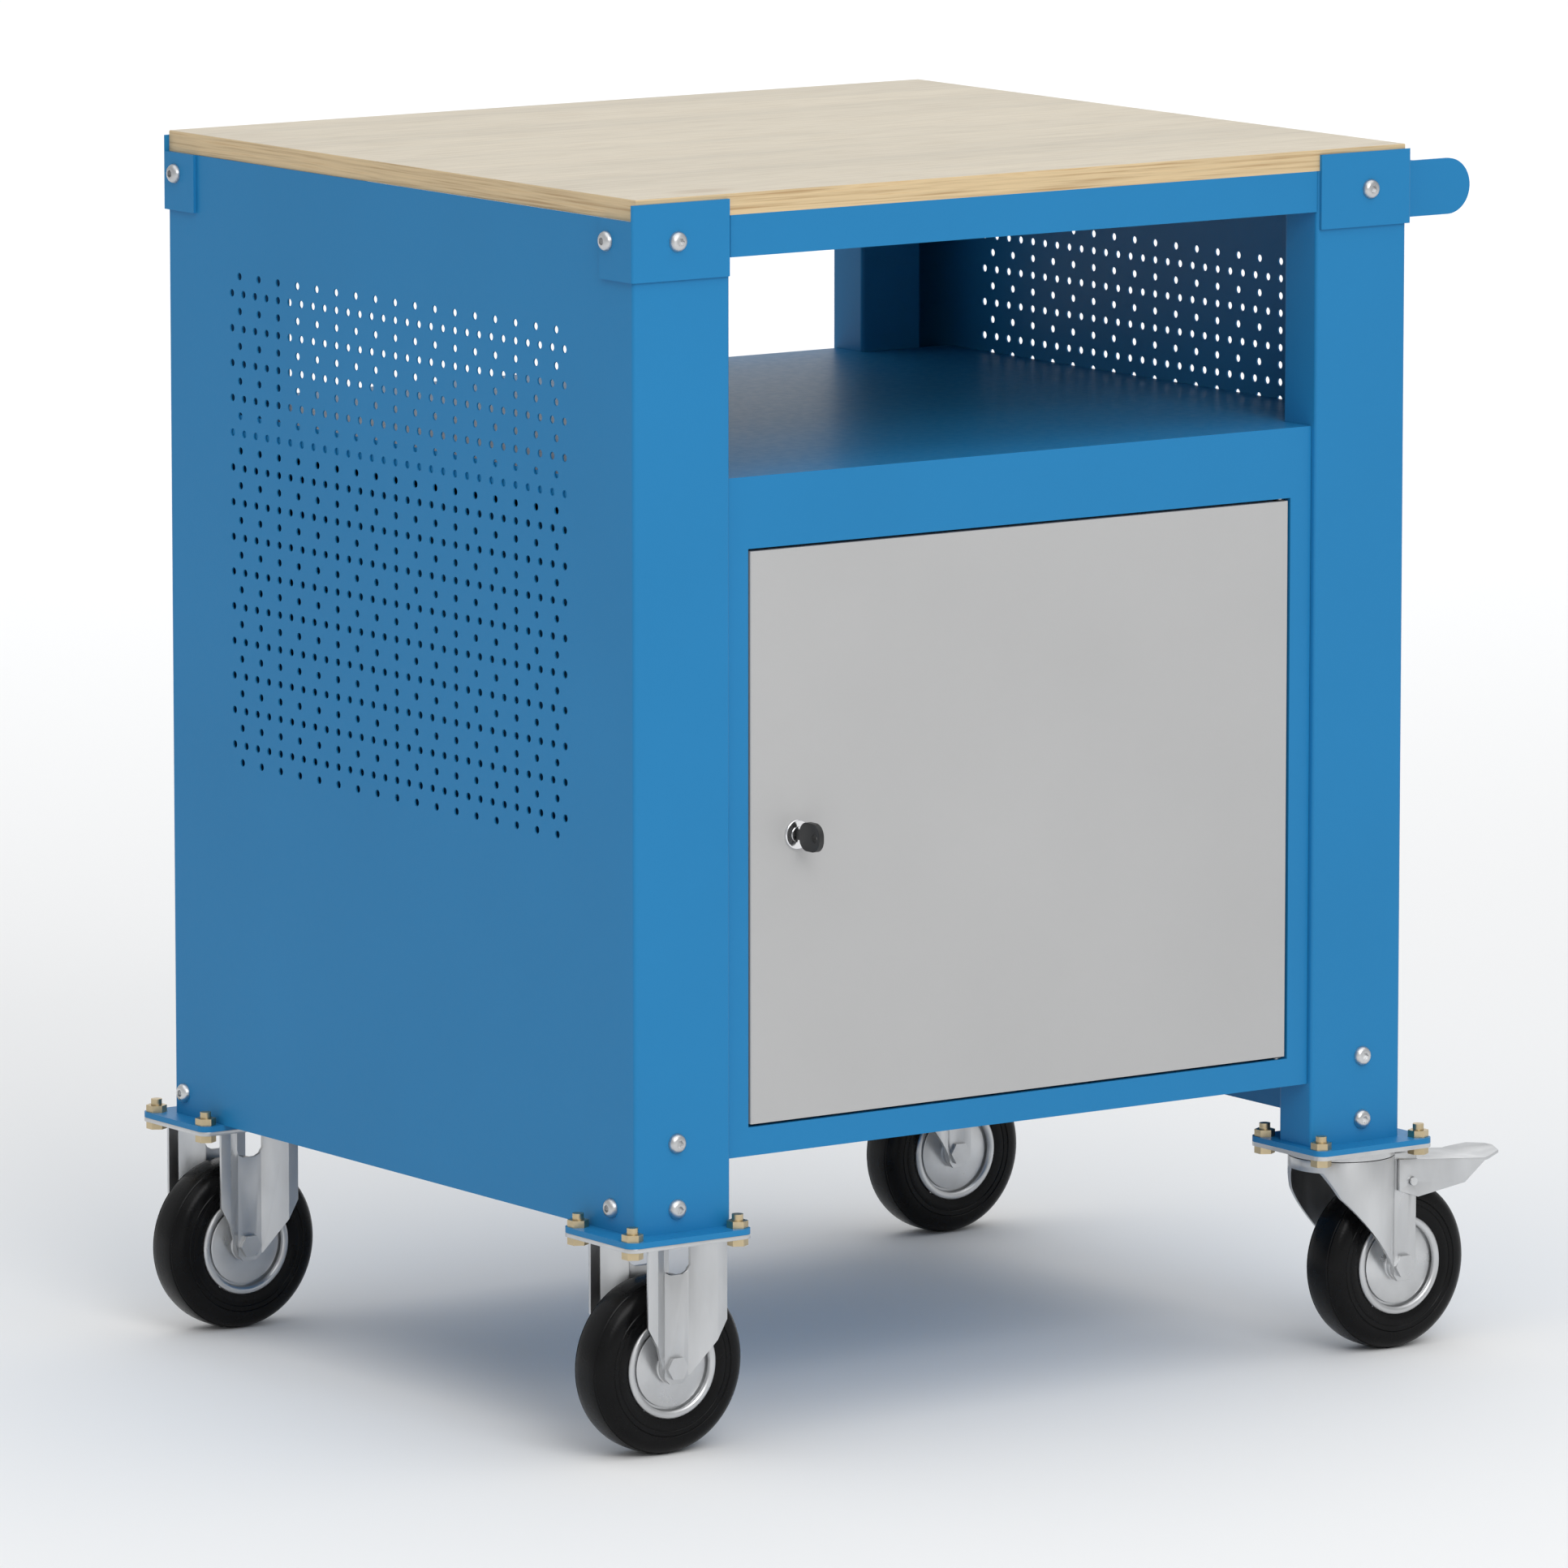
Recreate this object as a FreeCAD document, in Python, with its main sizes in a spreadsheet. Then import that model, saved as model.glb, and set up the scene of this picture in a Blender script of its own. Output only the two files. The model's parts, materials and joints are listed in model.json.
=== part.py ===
"""Mobile workbench trolley: plywood top, open compartment and a locked cupboard on four castors.

Every piece is drawn in the trolley's own frame: X runs to the right along the front, Y runs from the
front to the rear and Z runs up from the floor. X starts at the left side panel's outer face and Y at
the front of the posts. Each piece's Placement then moves it so that the origin is on the floor, at
the middle of the trolley's overall box. Castor pieces are drawn about their own castor's axis.
"""
import FreeCAD, Part
import math
import os
import re
import Sketcher

os.makedirs("parts", exist_ok=True)
doc = FreeCAD.newDocument("WorkbenchTrolley")
Vector = FreeCAD.Vector

# ---------------------------------------------------------------- driving dimensions, millimetres
SIZES = {
    # body
    "body_width": 666, "body_depth": 588, "side_height": 700,
    "top_thickness": 15, "top_side_inset": 1.5, "top_edge_round": 0.8,
    "side_skin": 1.2, "sheet_skin": 1, "bend_radius": 3,
    "post_width": 80, "post_depth": 38, "post_lip": 52,
    "part_gap": 0.3,
    # perforated web
    "hole_diameter": 5.5, "row_pitch": 25, "first_row_drop": 82,
    "sparse_pitch": 25, "sparse_rows": 15, "dense_pitch": 15, "hole_margin": 46,
    # corner brackets
    "bracket_skin": 2.5, "bracket_set_back": 2,
    "bracket_drop": 41.5, "bracket_rise": 11.5,
    # rails, shelf and cupboard
    "rail_height": 29, "rail_flange": 25, "face_recess": 5,
    "shelf_drop": 181.5, "lip_height": 50, "tray_return": 17, "shelf_side_flange": 20,
    "cupboard_bottom_rise": 45.5, "floor_lip": 20, "strip_width": 18, "back_flange": 15,
    "inner_shelf_rise": 204.5, "inner_shelf_lip": 20, "inner_shelf_front": 60,
    "inner_shelf_gap": 2, "clip_diameter": 6, "clip_reach": 9, "clip_stem": 3, "clip_inset": 60,
    # door, hinge and lock
    "door_gap": 2, "door_thickness": 18, "door_lip": 12,
    "stiffener_width": 50, "stiffener_depth": 14,
    "hinge_inset": 5, "hinge_back": 4, "pin_diameter": 4, "pin_reach": 13, "pin_head": 1.5,
    "pin_head_diameter": 5.6, "bush_diameter": 5.6, "bush_flange": 7, "bush_length": 6,
    "bush_flange_height": 1, "pin_clearance": 0.05,
    "lock_inset": 39, "escutcheon_diameter": 21, "escutcheon_height": 2,
    "barrel_diameter": 18, "barrel_end_gap": 0.5, "barrel_clearance": 0.1,
    "plug_diameter": 11, "plug_clearance": 0.05, "plug_proud": 0.5,
    "lock_nut_width": 24, "lock_nut_height": 4, "cam_thickness": 2, "cam_width": 12,
    "cam_length": 48, "cam_gap": 0.5, "cam_screw_diameter": 5,
    "key_slot_width": 1.9, "key_slot_height": 7.5, "key_blade_width": 1.7, "key_blade_height": 7,
    "key_blade_length": 15, "key_bow_width": 20, "key_bow_length": 24, "key_bow_thickness": 4,
    "key_bow_gap": 3, "key_ring_hole": 6,
    # push handle
    "handle_plate_skin": 3, "handle_height": 40, "handle_reach": 69, "handle_foot": 17,
    "handle_set_back": 18, "handle_bar_diameter": 30, "handle_bar_wall": 1.5,
    # screws
    "screw_diameter": 8, "screw_head_diameter": 14, "screw_head_height": 4.4, "screw_length": 16,
    "screw_clearance": 0.5, "socket_width": 5, "socket_depth": 2.4,
    "nut_width": 13, "nut_height": 5, "bracket_screw_drop": 15, "screw_across": 34.5,
    "screw_back": 29, "screw_back_plain": 13, "handle_screw_drop": 31,
    "low_screw_rise": 16, "low_screw_pitch": 46, "bolt_length": 16.5, "bolt_head_height": 5.3,
    # castors
    "mount_plate_skin": 4, "plate_width": 104, "plate_depth": 85, "plate_corner": 8,
    "bolt_pitch_across": 88, "bolt_pitch_along": 66,
    "castor_headroom": 29, "castor_across": 34.5, "castor_along": 23, "castor_plate_skin": 3,
    "wheel_diameter": 125, "tyre_width": 37, "tyre_shoulder": 10, "rim_diameter": 73,
    "rim_wall": 2, "hub_diameter": 22, "disc_groove_diameter": 60, "disc_groove_depth": 2.5,
    "disc_inset": 0.5, "disc_skin": 2, "hub_gap": 0.3, "axle_diameter": 10, "axle_clearance": 0.1,
    "axle_head_width": 15, "axle_head_height": 2.5, "leg_skin": 2.5, "leg_reach": 11, "tyre_gap": 1.5,
    "fixed_leg_width": 66, "fixed_groove_floor": 20, "fixed_groove_mouth": 50,
    "fixed_leg_flat": 36.5, "fixed_taper_drop": 54, "leg_window": 22, "leg_window_drop": 26,
    "leg_window_corner": 6,
    "trail": 40, "head_diameter": 77, "race_height": 5, "race_gap": 0.6,
    "deck_skin": 3, "throat_drop": 17, "kingpin_diameter": 12, "kingpin_head_width": 19,
    "kingpin_head_height": 6, "kingpin_clearance": 0.1,
    "ball_diameter": 4, "ball_circle": 56, "ball_count": 20, "ball_seat": 0.15,
    "throat_step": 6, "cheek_front": 51,
    "brake_pin_along": 46, "brake_pin_drop": 30, "brake_pin_diameter": 4, "brake_pin_head": 6,
    "brake_pin_head_height": 1.5, "brake_block_along": 66, "brake_block_length": 6,
    "brake_block_drop": 30,
    "pedal_skin": 2, "pedal_gap": 0.3, "pedal_start": 34, "pedal_top_drop": 13,
    "pedal_web_drop": 4, "pedal_foot_start": 112, "pedal_foot_drop": 20, "pedal_heel": 18,
    "pedal_reach": 135, "pedal_bottom_drop": 36, "pedal_tip_drop": 16, "pedal_end_radius": 20,
}

# Sizes that follow from others: a larger wheel lifts the whole castor, a wider tyre its fork.
FOLLOWING = {
    "bracket_front_arm": "post_width - bracket_set_back",
    "bracket_side_arm": "post_depth",
    "barrel_length": "door_thickness + barrel_end_gap",
    "disc_face": "tyre_width / 2 - disc_inset",
    "fork_half_width": "tyre_width / 2 + tyre_gap + leg_skin",
    "castor_height": "wheel_diameter + castor_headroom",
    "fixed_taper_height": "castor_height - fixed_taper_drop",
    "leg_window_bottom": "castor_height - leg_window_drop",
    "throat_height": "castor_height - throat_drop",
    "brake_pin_height": "castor_height - brake_pin_drop",
    "brake_block_bottom": "castor_height - brake_block_drop",
    "pedal_top": "castor_height - pedal_top_drop",
    "pedal_foot_height": "castor_height - pedal_foot_drop",
    "pedal_bottom": "castor_height - pedal_bottom_drop",
    "pedal_tip_height": "castor_height - pedal_tip_drop",
}
ROUNDING = 1e-6

sheet = doc.addObject("Spreadsheet::Sheet", "Sizes")
cells = {**SIZES, **{alias: f"={rule}" for alias, rule in FOLLOWING.items()}}
for row, (alias, content) in enumerate(cells.items(), start=1):
    sheet.set(f"A{row}", str(content))
    sheet.setAlias(f"A{row}", alias)
doc.recompute()

# ---------------------------------------------------------------- places worked out from the sizes
SIDE_BOTTOM = "(castor_height + mount_plate_skin)"
SIDE_TOP = f"({SIDE_BOTTOM} + side_height)"
RIGHT_POST = "(body_width - post_width)"
SHELF_TOP = f"({SIDE_TOP} - shelf_drop)"
OPENING_TOP = f"({SHELF_TOP} - lip_height)"
CUPBOARD_BOTTOM = f"({SIDE_BOTTOM} + cupboard_bottom_rise)"
FLOOR_TOP = f"({CUPBOARD_BOTTOM} + floor_lip)"
INNER_LEFT = "(post_width + part_gap)"
INNER_RIGHT = f"({RIGHT_POST} - part_gap)"
FACE = "face_recess"
REAR_FACE = "(body_depth - face_recess)"
DOOR_LEFT = f"({INNER_LEFT} + strip_width + door_gap)"
DOOR_RIGHT = f"({INNER_RIGHT} - strip_width - door_gap)"
DOOR_BOTTOM = f"({FLOOR_TOP} + door_gap)"
DOOR_TOP = f"({OPENING_TOP} - door_gap)"
DOOR_REAR = f"({FACE} + door_thickness)"
HINGE_X = f"({DOOR_RIGHT} - hinge_inset)"
HINGE_Y = f"({FACE} + hinge_back)"
LOCK_X = f"({DOOR_LEFT} + lock_inset)"
LOCK_Z = f"(({DOOR_BOTTOM} + {DOOR_TOP}) / 2)"
INNER_SHELF_TOP = f"({FLOOR_TOP} + inner_shelf_rise)"
CLIP_Z = f"({INNER_SHELF_TOP} - inner_shelf_lip - clip_diameter / 2)"
HANDLE_FACE = "(body_width + bracket_skin)"
HANDLE_BAR_X = f"({HANDLE_FACE} + handle_reach - handle_height / 2)"
HANDLE_BAR_Z = f"({SIDE_TOP} - handle_height / 2)"
LEFT_END = "(castor_across - wheel_diameter / 2)"
RIGHT_END = "(body_width - castor_across + pedal_reach)"
ORIGIN_X = f"(({LEFT_END} + {RIGHT_END}) / 2)"
ORIGIN_Y = "(body_depth / 2)"
FORK_TOP = "(castor_height - castor_plate_skin - race_height - race_gap)"
WHEEL_Z = "(wheel_diameter / 2)"

CORNERS = {
    "front_left": ("castor_across", "castor_along"),
    "rear_left": ("castor_across", "(body_depth - castor_along)"),
    "front_right": ("(body_width - castor_across)", "castor_along"),
    "rear_right": ("(body_width - castor_across)", "(body_depth - castor_along)"),
}
LEFT_CORNERS = ("front_left", "rear_left")
RIGHT_CORNERS = ("front_right", "rear_right")

parts = []
ALIAS = re.compile(r"\b(" + "|".join(sorted(cells, key=len, reverse=True)) + r")\b")


def bound(rule):
    """A rule in plain size names, as an expression that reads the sheet's cells."""
    return ALIAS.sub(r"Sizes.\1", str(rule))


def size(alias):
    """The number that one cell of the sheet holds."""
    return float(sheet.get(alias))


# ---------------------------------------------------------------- drawing helpers
def place(part, x="0", y="0", z="0", turn=0):
    """Stand a piece at a place of the trolley's frame, turned about Z by whole quarter turns."""
    part.Placement = FreeCAD.Placement(Vector(0, 0, 0), FreeCAD.Rotation(Vector(0, 0, 1), turn))
    part.setExpression(".Placement.Base.x", bound(f"{x} - {ORIGIN_X}"))
    part.setExpression(".Placement.Base.y", bound(f"{y} - {ORIGIN_Y}"))
    part.setExpression(".Placement.Base.z", bound(z))


def new_body(name):
    """An empty body that becomes the piece of that name."""
    body = doc.addObject("PartDesign::Body", name)
    body.Label = name
    parts.append(body)
    return body


def new_sketch(body, plane, offset="0"):
    """A sketch on one of the body's own origin planes, moved along the plane's axis by offset."""
    drawing = body.newObject("Sketcher::SketchObject", f"{body.Name}_sketch")
    planes = [item for item in body.Origin.OriginFeatures if item.Role == plane]
    drawing.AttachmentSupport = [(planes[0], "")]
    drawing.MapMode = "FlatFace"
    sign = "-" if plane == "XZ_Plane" else ""
    drawing.setExpression("AttachmentOffset.Base.z", bound(f"{sign}({offset})"))
    return drawing


def fix_point(drawing, geometry, point, x, y):
    """Hold one point of a sketch at two rules, measured from the sketch's origin."""
    for kind, rule in (("DistanceX", x), ("DistanceY", y)):
        number = drawing.addConstraint(Sketcher.Constraint(kind, -1, 1, geometry, point, 1.0))
        drawing.setExpression(f"Constraints[{number}]", bound(rule))


def draw_outline(drawing, points):
    """A closed outline of straight lines through points given as rules."""
    first = drawing.GeometryCount
    count = len(points)
    start = [Vector(math.cos(6.2 * i / count), math.sin(6.2 * i / count), 0) for i in range(count)]
    for i in range(count):
        drawing.addGeometry(Part.LineSegment(start[i], start[(i + 1) % count]), False)
    for i in range(count):
        after = first + (i + 1) % count
        drawing.addConstraint(Sketcher.Constraint("Coincident", first + i, 2, after, 1))
    for i, (x, y) in enumerate(points):
        fix_point(drawing, first + i, 1, x, y)


def draw_box(drawing, left, right, low, high):
    """A rectangle between two rules across and two rules up."""
    draw_outline(drawing, [(left, low), (right, low), (right, high), (left, high)])


def draw_circle(drawing, x, y, diameter):
    """A circle of a diameter about a point."""
    number = drawing.addGeometry(Part.Circle(Vector(0, 0, 0), Vector(0, 0, 1), 1.0), False)
    fix_point(drawing, number, 3, x, y)
    ring = drawing.addConstraint(Sketcher.Constraint("Diameter", number, 2.0))
    drawing.setExpression(f"Constraints[{ring}]", bound(diameter))


def pad(body, drawing, length):
    """Grow a sketch into solid along the positive direction of its plane's axis."""
    feature = body.newObject("PartDesign::Pad", f"{body.Name}_pad")
    feature.Profile = drawing
    feature.setExpression("Length", bound(length))
    feature.Reversed = "XZ_Plane" in drawing.AttachmentSupport[0][0].Role
    doc.recompute()
    return feature


def pocket(body, drawing, length):
    """Cut a sketch away along the positive direction of its plane's axis."""
    before = body.Shape.Volume
    feature = body.newObject("PartDesign::Pocket", f"{body.Name}_pocket")
    feature.Profile = drawing
    feature.setExpression("Length", bound(length))
    feature.Reversed = "XZ_Plane" not in drawing.AttachmentSupport[0][0].Role
    doc.recompute()
    if body.Shape.Volume > before - 1e-3:
        raise RuntimeError(f"{feature.Name} cuts nothing")
    return feature


def revolve(body, drawing):
    """Turn a sketch all the way round the sketch's own horizontal axis."""
    feature = body.newObject("PartDesign::Revolution", f"{body.Name}_revolution")
    feature.Profile = drawing
    feature.ReferenceAxis = (drawing, ["H_Axis"])
    feature.Angle = 360
    doc.recompute()
    return feature


def round_edges(body, radius, wanted):
    """Round the edges of the body that the wanted test picks."""
    base = body.Tip
    names = [f"Edge{i + 1}" for i, edge in enumerate(base.Shape.Edges) if wanted(edge)]
    if not names:
        raise RuntimeError(f"{body.Name} has no such edges to round")
    feature = body.newObject("PartDesign::Fillet", f"{body.Name}_round")
    feature.Base = (base, names)
    feature.setExpression("Radius", bound(radius))
    doc.recompute()
    return feature


def is_upright(edge):
    """Whether an edge is a straight line along Z."""
    if edge.Curve.TypeId != "Part::GeomLine":
        return False
    return abs(edge.tangentAt(edge.FirstParameter).z) > 0.999


def runs_along_y(edge):
    """Whether an edge is a straight line along Y."""
    if edge.Curve.TypeId != "Part::GeomLine":
        return False
    return abs(edge.tangentAt(edge.FirstParameter).y) > 0.999


def edge_middle(edge):
    """The middle of an edge, in the body's own frame."""
    return edge.BoundBox.Center


def solid_cylinder(name, diameter, length, axis, x="0", y="0", z="0"):
    """A cylinder primitive that starts at a point and runs along +X, +Y, -Y or +Z."""
    turns = {
        "x": FreeCAD.Rotation(Vector(0, 1, 0), 90),
        "y": FreeCAD.Rotation(Vector(1, 0, 0), -90),
        "-x": FreeCAD.Rotation(Vector(0, 1, 0), -90),
        "-y": FreeCAD.Rotation(Vector(1, 0, 0), 90),
        "z": FreeCAD.Rotation(),
        "-z": FreeCAD.Rotation(Vector(1, 0, 0), 180),
    }
    item = doc.addObject("Part::Cylinder", name)
    item.Placement = FreeCAD.Placement(Vector(0, 0, 0), turns[axis])
    item.setExpression("Radius", bound(f"({diameter}) / 2"))
    item.setExpression("Height", bound(length))
    for letter, rule in zip("xyz", (x, y, z)):
        item.setExpression(f".Placement.Base.{letter}", bound(rule))
    return item


def solid_hexagon(name, width, height, axis, x="0", y="0", z="0"):
    """A hexagonal prism of a width across flats that starts at a point and runs along an axis."""
    turns = {
        "y": FreeCAD.Rotation(Vector(1, 0, 0), -90),
        "-y": FreeCAD.Rotation(Vector(1, 0, 0), 90),
        "z": FreeCAD.Rotation(Vector(0, 0, 1), 90),
        "-z": FreeCAD.Rotation(Vector(1, 0, 0), 180) * FreeCAD.Rotation(Vector(0, 0, 1), 90),
        "x": FreeCAD.Rotation(Vector(0, 1, 0), 90),
        "-x": FreeCAD.Rotation(Vector(0, 1, 0), -90),
    }
    item = doc.addObject("Part::Prism", name)
    item.Polygon = 6
    item.Placement = FreeCAD.Placement(Vector(0, 0, 0), turns[axis])
    item.setExpression("Circumradius", bound(f"({width}) / 2 / cos(30 deg)"))
    item.setExpression("Height", bound(height))
    for letter, rule in zip("xyz", (x, y, z)):
        item.setExpression(f".Placement.Base.{letter}", bound(rule))
    return item


def fused(name, *items):
    """Primitives joined into one solid."""
    item = doc.addObject("Part::MultiFuse", name)
    item.Shapes = list(items)
    return item


def cut(name, base, tool):
    """One solid with another taken out of it."""
    item = doc.addObject("Part::Cut", name)
    item.Base = base
    item.Tool = tool
    return item


def group(name, items):
    """Separate solids of one kind that share a node."""
    item = doc.addObject("Part::Compound", name)
    item.Label = name
    item.Links = items
    place(item)
    parts.append(item)
    return item


# ---------------------------------------------------------------- worktop
def make_worktop():
    """A plywood board that lies on the side panels, between the corner brackets."""
    body = new_body("worktop")
    drawing = new_sketch(body, "XY_Plane")
    draw_box(drawing, "top_side_inset", "body_width - top_side_inset", "0", "body_depth")
    pad(body, drawing, "top_thickness")
    top = size("top_thickness")
    round_edges(body, "top_edge_round", lambda edge: edge_middle(edge).z > top - 0.01)
    place(body, z=SIDE_TOP)


# ---------------------------------------------------------------- folded side panels
def folded_side_wire():
    """The section of a side panel, seen from above: a web whose ends are folded into posts."""
    skin = size("side_skin")
    width = size("post_width")
    depth = size("post_depth")
    lip = width - size("post_lip")
    rear = size("body_depth")
    front_half = [
        (0, 0), (width, 0), (width, depth), (lip, depth), (lip, depth - skin),
        (width - skin, depth - skin), (width - skin, skin), (skin, skin),
    ]
    rear_half = [(x, rear - y) for x, y in reversed(front_half)]
    corners = [Vector(x, y, 0) for x, y in front_half + rear_half]
    return Part.makePolygon(corners + corners[:1])


def perforation_centres():
    """The hole centres of a web, as (Y, Z) pairs above the panel's lower edge."""
    middle = size("body_depth") / 2
    top_row = size("side_height") - size("first_row_drop")
    pitch = size("row_pitch")
    rows = int(size("sparse_rows"))
    centres = []
    reach = middle - size("post_depth") - size("hole_margin")
    for step, shift, used in ((size("sparse_pitch"), 0, rows),
                              (size("dense_pitch"), pitch / 2, rows - 1)):
        beside = math.floor(reach / step + ROUNDING)
        for row in range(used):
            for column in range(-beside, beside + 1):
                centres.append((middle + step * column, top_row - shift - pitch * row))
    return centres


def side_screw_tools(has_handle):
    """The cylinders that cut a side panel's screw holes, above the panel's lower edge. On the
    side with the handle, the rear post's side holes mirror the front ones; on the other side
    they are closer to the rear face."""
    radius = (size("screw_diameter") + size("screw_clearance")) / 2
    top = size("side_height")
    rear = size("body_depth")
    deep = size("post_depth") / 2
    high = top - size("bracket_screw_drop")
    low = size("low_screw_rise")
    tools = []
    for up in (high, low, low + size("low_screw_pitch")):
        for along in (-1, rear - deep):
            start = Vector(size("screw_across"), along, up)
            tools.append(Part.makeCylinder(radius, deep + 1, start, Vector(0, 1, 0)))
    side_heights = [high, low]
    rear_inset = size("screw_back_plain")
    if has_handle:
        side_heights.append(top - size("handle_screw_drop"))
        rear_inset = size("screw_back")
    for up in side_heights:
        for along in (size("screw_back"), rear - rear_inset):
            start = Vector(-1, along, up)
            tools.append(Part.makeCylinder(radius, deep, start, Vector(1, 0, 0)))
    return tools


def make_side_panel(name, x, y, turn, has_handle):
    """One folded sheet: a perforated web and, at its front and rear edges, the two posts."""
    skin = size("side_skin")
    height = size("side_height")
    radius = size("bend_radius")
    blank = Part.Face(folded_side_wire()).extrude(Vector(0, 0, height))
    width = size("post_width")
    depth = size("post_depth")
    rear = size("body_depth")
    outer = [(0, 0), (width, 0), (width, depth)]
    inner = [(skin, skin), (width - skin, skin), (width - skin, depth - skin)]

    def touches(edge, corners):
        middle = edge_middle(edge)
        ends = [(cx, cy) for cx, cy in corners] + [(cx, rear - cy) for cx, cy in corners]
        return any(math.hypot(middle.x - cx, middle.y - cy) < 0.01 for cx, cy in ends)

    upright = [edge for edge in blank.Edges if is_upright(edge)]
    folded = blank.makeFillet(radius, [edge for edge in upright if touches(edge, outer)])
    upright = [edge for edge in folded.Edges if is_upright(edge)]
    folded = folded.makeFillet(radius - skin, [edge for edge in upright if touches(edge, inner)])

    low_y = depth + 1
    high_y = rear - depth - 1
    window = Part.makeBox(skin, high_y - low_y, height, Vector(0, low_y, 0))
    corners = [Vector(0, low_y, 0), Vector(0, high_y, 0), Vector(0, high_y, height),
               Vector(0, low_y, height)]
    wires = [Part.makePolygon(corners + corners[:1])]
    hole = size("hole_diameter") / 2
    for along, up in perforation_centres():
        circle = Part.Circle(Vector(0, along, up), Vector(1, 0, 0), hole)
        wires.append(Part.Wire(circle.toShape()))
    web = Part.Face(wires, "Part::FaceMakerBullseye").extrude(Vector(skin, 0, 0))
    panel = doc.addObject("Part::Feature", name)
    panel.Label = name
    drilled = folded.cut([window] + side_screw_tools(has_handle))
    panel.Shape = drilled.fuse(web).removeSplitter()
    parts.append(panel)
    place(panel, x=x, y=y, z=SIDE_BOTTOM, turn=turn)


# ---------------------------------------------------------------- corner brackets
def make_corner_bracket(name, x, y, turn, hand, drops=("bracket_screw_drop",), inset="screw_back"):
    """A folded plate round a post's upper corner: one arm rises up the worktop's edge. The other
    arm has a hole at each of the drops, at the inset from the post's face."""
    body = new_body(name)
    sign = "" if hand > 0 else "-"
    back = "part_gap / 3"
    skin = f"{sign}(-bracket_skin)"
    inner = f"{sign}(-{back})"
    drawing = new_sketch(body, "XY_Plane")
    draw_outline(drawing, [
        (skin, "-bracket_skin"), (f"{sign}(bracket_front_arm)", "-bracket_skin"),
        (f"{sign}(bracket_front_arm)", f"-{back}"), (inner, f"-{back}"),
        (inner, "bracket_side_arm"), (skin, "bracket_side_arm"),
    ])
    pad(body, drawing, "bracket_drop + bracket_rise")
    corner_x = -size("bracket_skin") * hand
    corner_y = -size("bracket_skin")

    def outer_corner(edge):
        middle = edge_middle(edge)
        return is_upright(edge) and math.hypot(middle.x - corner_x, middle.y - corner_y) < 0.01

    round_edges(body, "bracket_skin", outer_corner)
    drawing = new_sketch(body, "XY_Plane", "bracket_drop")
    draw_box(drawing, f"{sign}(-2 * bracket_skin)", f"{sign}(2 * bracket_skin)",
             f"-{back}", "2 * bracket_side_arm")
    pocket(body, drawing, "2 * bracket_rise")
    drawing = new_sketch(body, "XZ_Plane", "-2 * bracket_skin")
    draw_circle(drawing, f"{sign}(screw_across)", "bracket_drop - bracket_screw_drop",
                "screw_diameter + screw_clearance")
    pocket(body, drawing, "3 * bracket_skin")
    drawing = new_sketch(body, "YZ_Plane", "-2 * bracket_skin")
    for drop in drops:
        draw_circle(drawing, inset, f"bracket_drop - {drop}", "screw_diameter + screw_clearance")
    pocket(body, drawing, "4 * bracket_skin")
    place(body, x=x, y=y, z=f"{SIDE_TOP} - bracket_drop", turn=turn)


# ---------------------------------------------------------------- rails between the posts
def make_top_rail(name, turn, x, y):
    """A channel between two posts under the worktop, its web flush with the posts."""
    body = new_body(name)
    drawing = new_sketch(body, "YZ_Plane", INNER_LEFT)
    draw_outline(drawing, [
        ("0", "0"), ("rail_flange", "0"), ("rail_flange", "sheet_skin"),
        ("sheet_skin", "sheet_skin"), ("sheet_skin", "rail_height - sheet_skin"),
        ("rail_flange", "rail_height - sheet_skin"), ("rail_flange", "rail_height"),
        ("0", "rail_height"),
    ])
    pad(body, drawing, f"{INNER_RIGHT} - {INNER_LEFT}")
    place(body, x=x, y=y, z=f"{SIDE_TOP} - rail_height", turn=turn)


# ---------------------------------------------------------------- shelf and cupboard
def make_shelf():
    """A folded tray that fills the body's plan, notched round the posts, with a deep lip."""
    body = new_body("shelf")
    wall = "(side_skin + part_gap)"
    behind = "(post_depth + part_gap)"
    drawing = new_sketch(body, "XY_Plane", "-sheet_skin")
    draw_outline(drawing, [
        (INNER_LEFT, FACE), (INNER_RIGHT, FACE),
        (INNER_RIGHT, behind), (f"body_width - {wall}", behind),
        (f"body_width - {wall}", f"body_depth - {behind}"),
        (INNER_RIGHT, f"body_depth - {behind}"), (INNER_RIGHT, REAR_FACE),
        (INNER_LEFT, REAR_FACE), (INNER_LEFT, f"body_depth - {behind}"),
        (wall, f"body_depth - {behind}"), (wall, behind), (INNER_LEFT, behind),
    ])
    pad(body, drawing, "sheet_skin")
    for start, inside in ((FACE, f"{FACE} + tray_return"),
                          (f"{REAR_FACE} - tray_return", f"{REAR_FACE}")):
        drawing = new_sketch(body, "XY_Plane", "-lip_height")
        draw_box(drawing, INNER_LEFT, INNER_RIGHT, start, inside)
        pad(body, drawing, "sheet_skin")
    for start in (FACE, f"{REAR_FACE} - sheet_skin"):
        drawing = new_sketch(body, "XZ_Plane", start)
        draw_box(drawing, INNER_LEFT, INNER_RIGHT, "-lip_height", "-sheet_skin / 2")
        pad(body, drawing, "sheet_skin")
    for start in (wall, f"body_width - {wall} - sheet_skin"):
        drawing = new_sketch(body, "YZ_Plane", start)
        draw_box(drawing, behind, f"body_depth - {behind}", "-shelf_side_flange",
                 "-sheet_skin / 2")
        pad(body, drawing, "sheet_skin")
    drawing = new_sketch(body, "XY_Plane", "-lip_height - sheet_skin")
    draw_circle(drawing, HINGE_X, HINGE_Y, "pin_diameter + 2 * pin_clearance")
    pocket(body, drawing, "3 * sheet_skin")
    place(body, z=SHELF_TOP)


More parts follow.
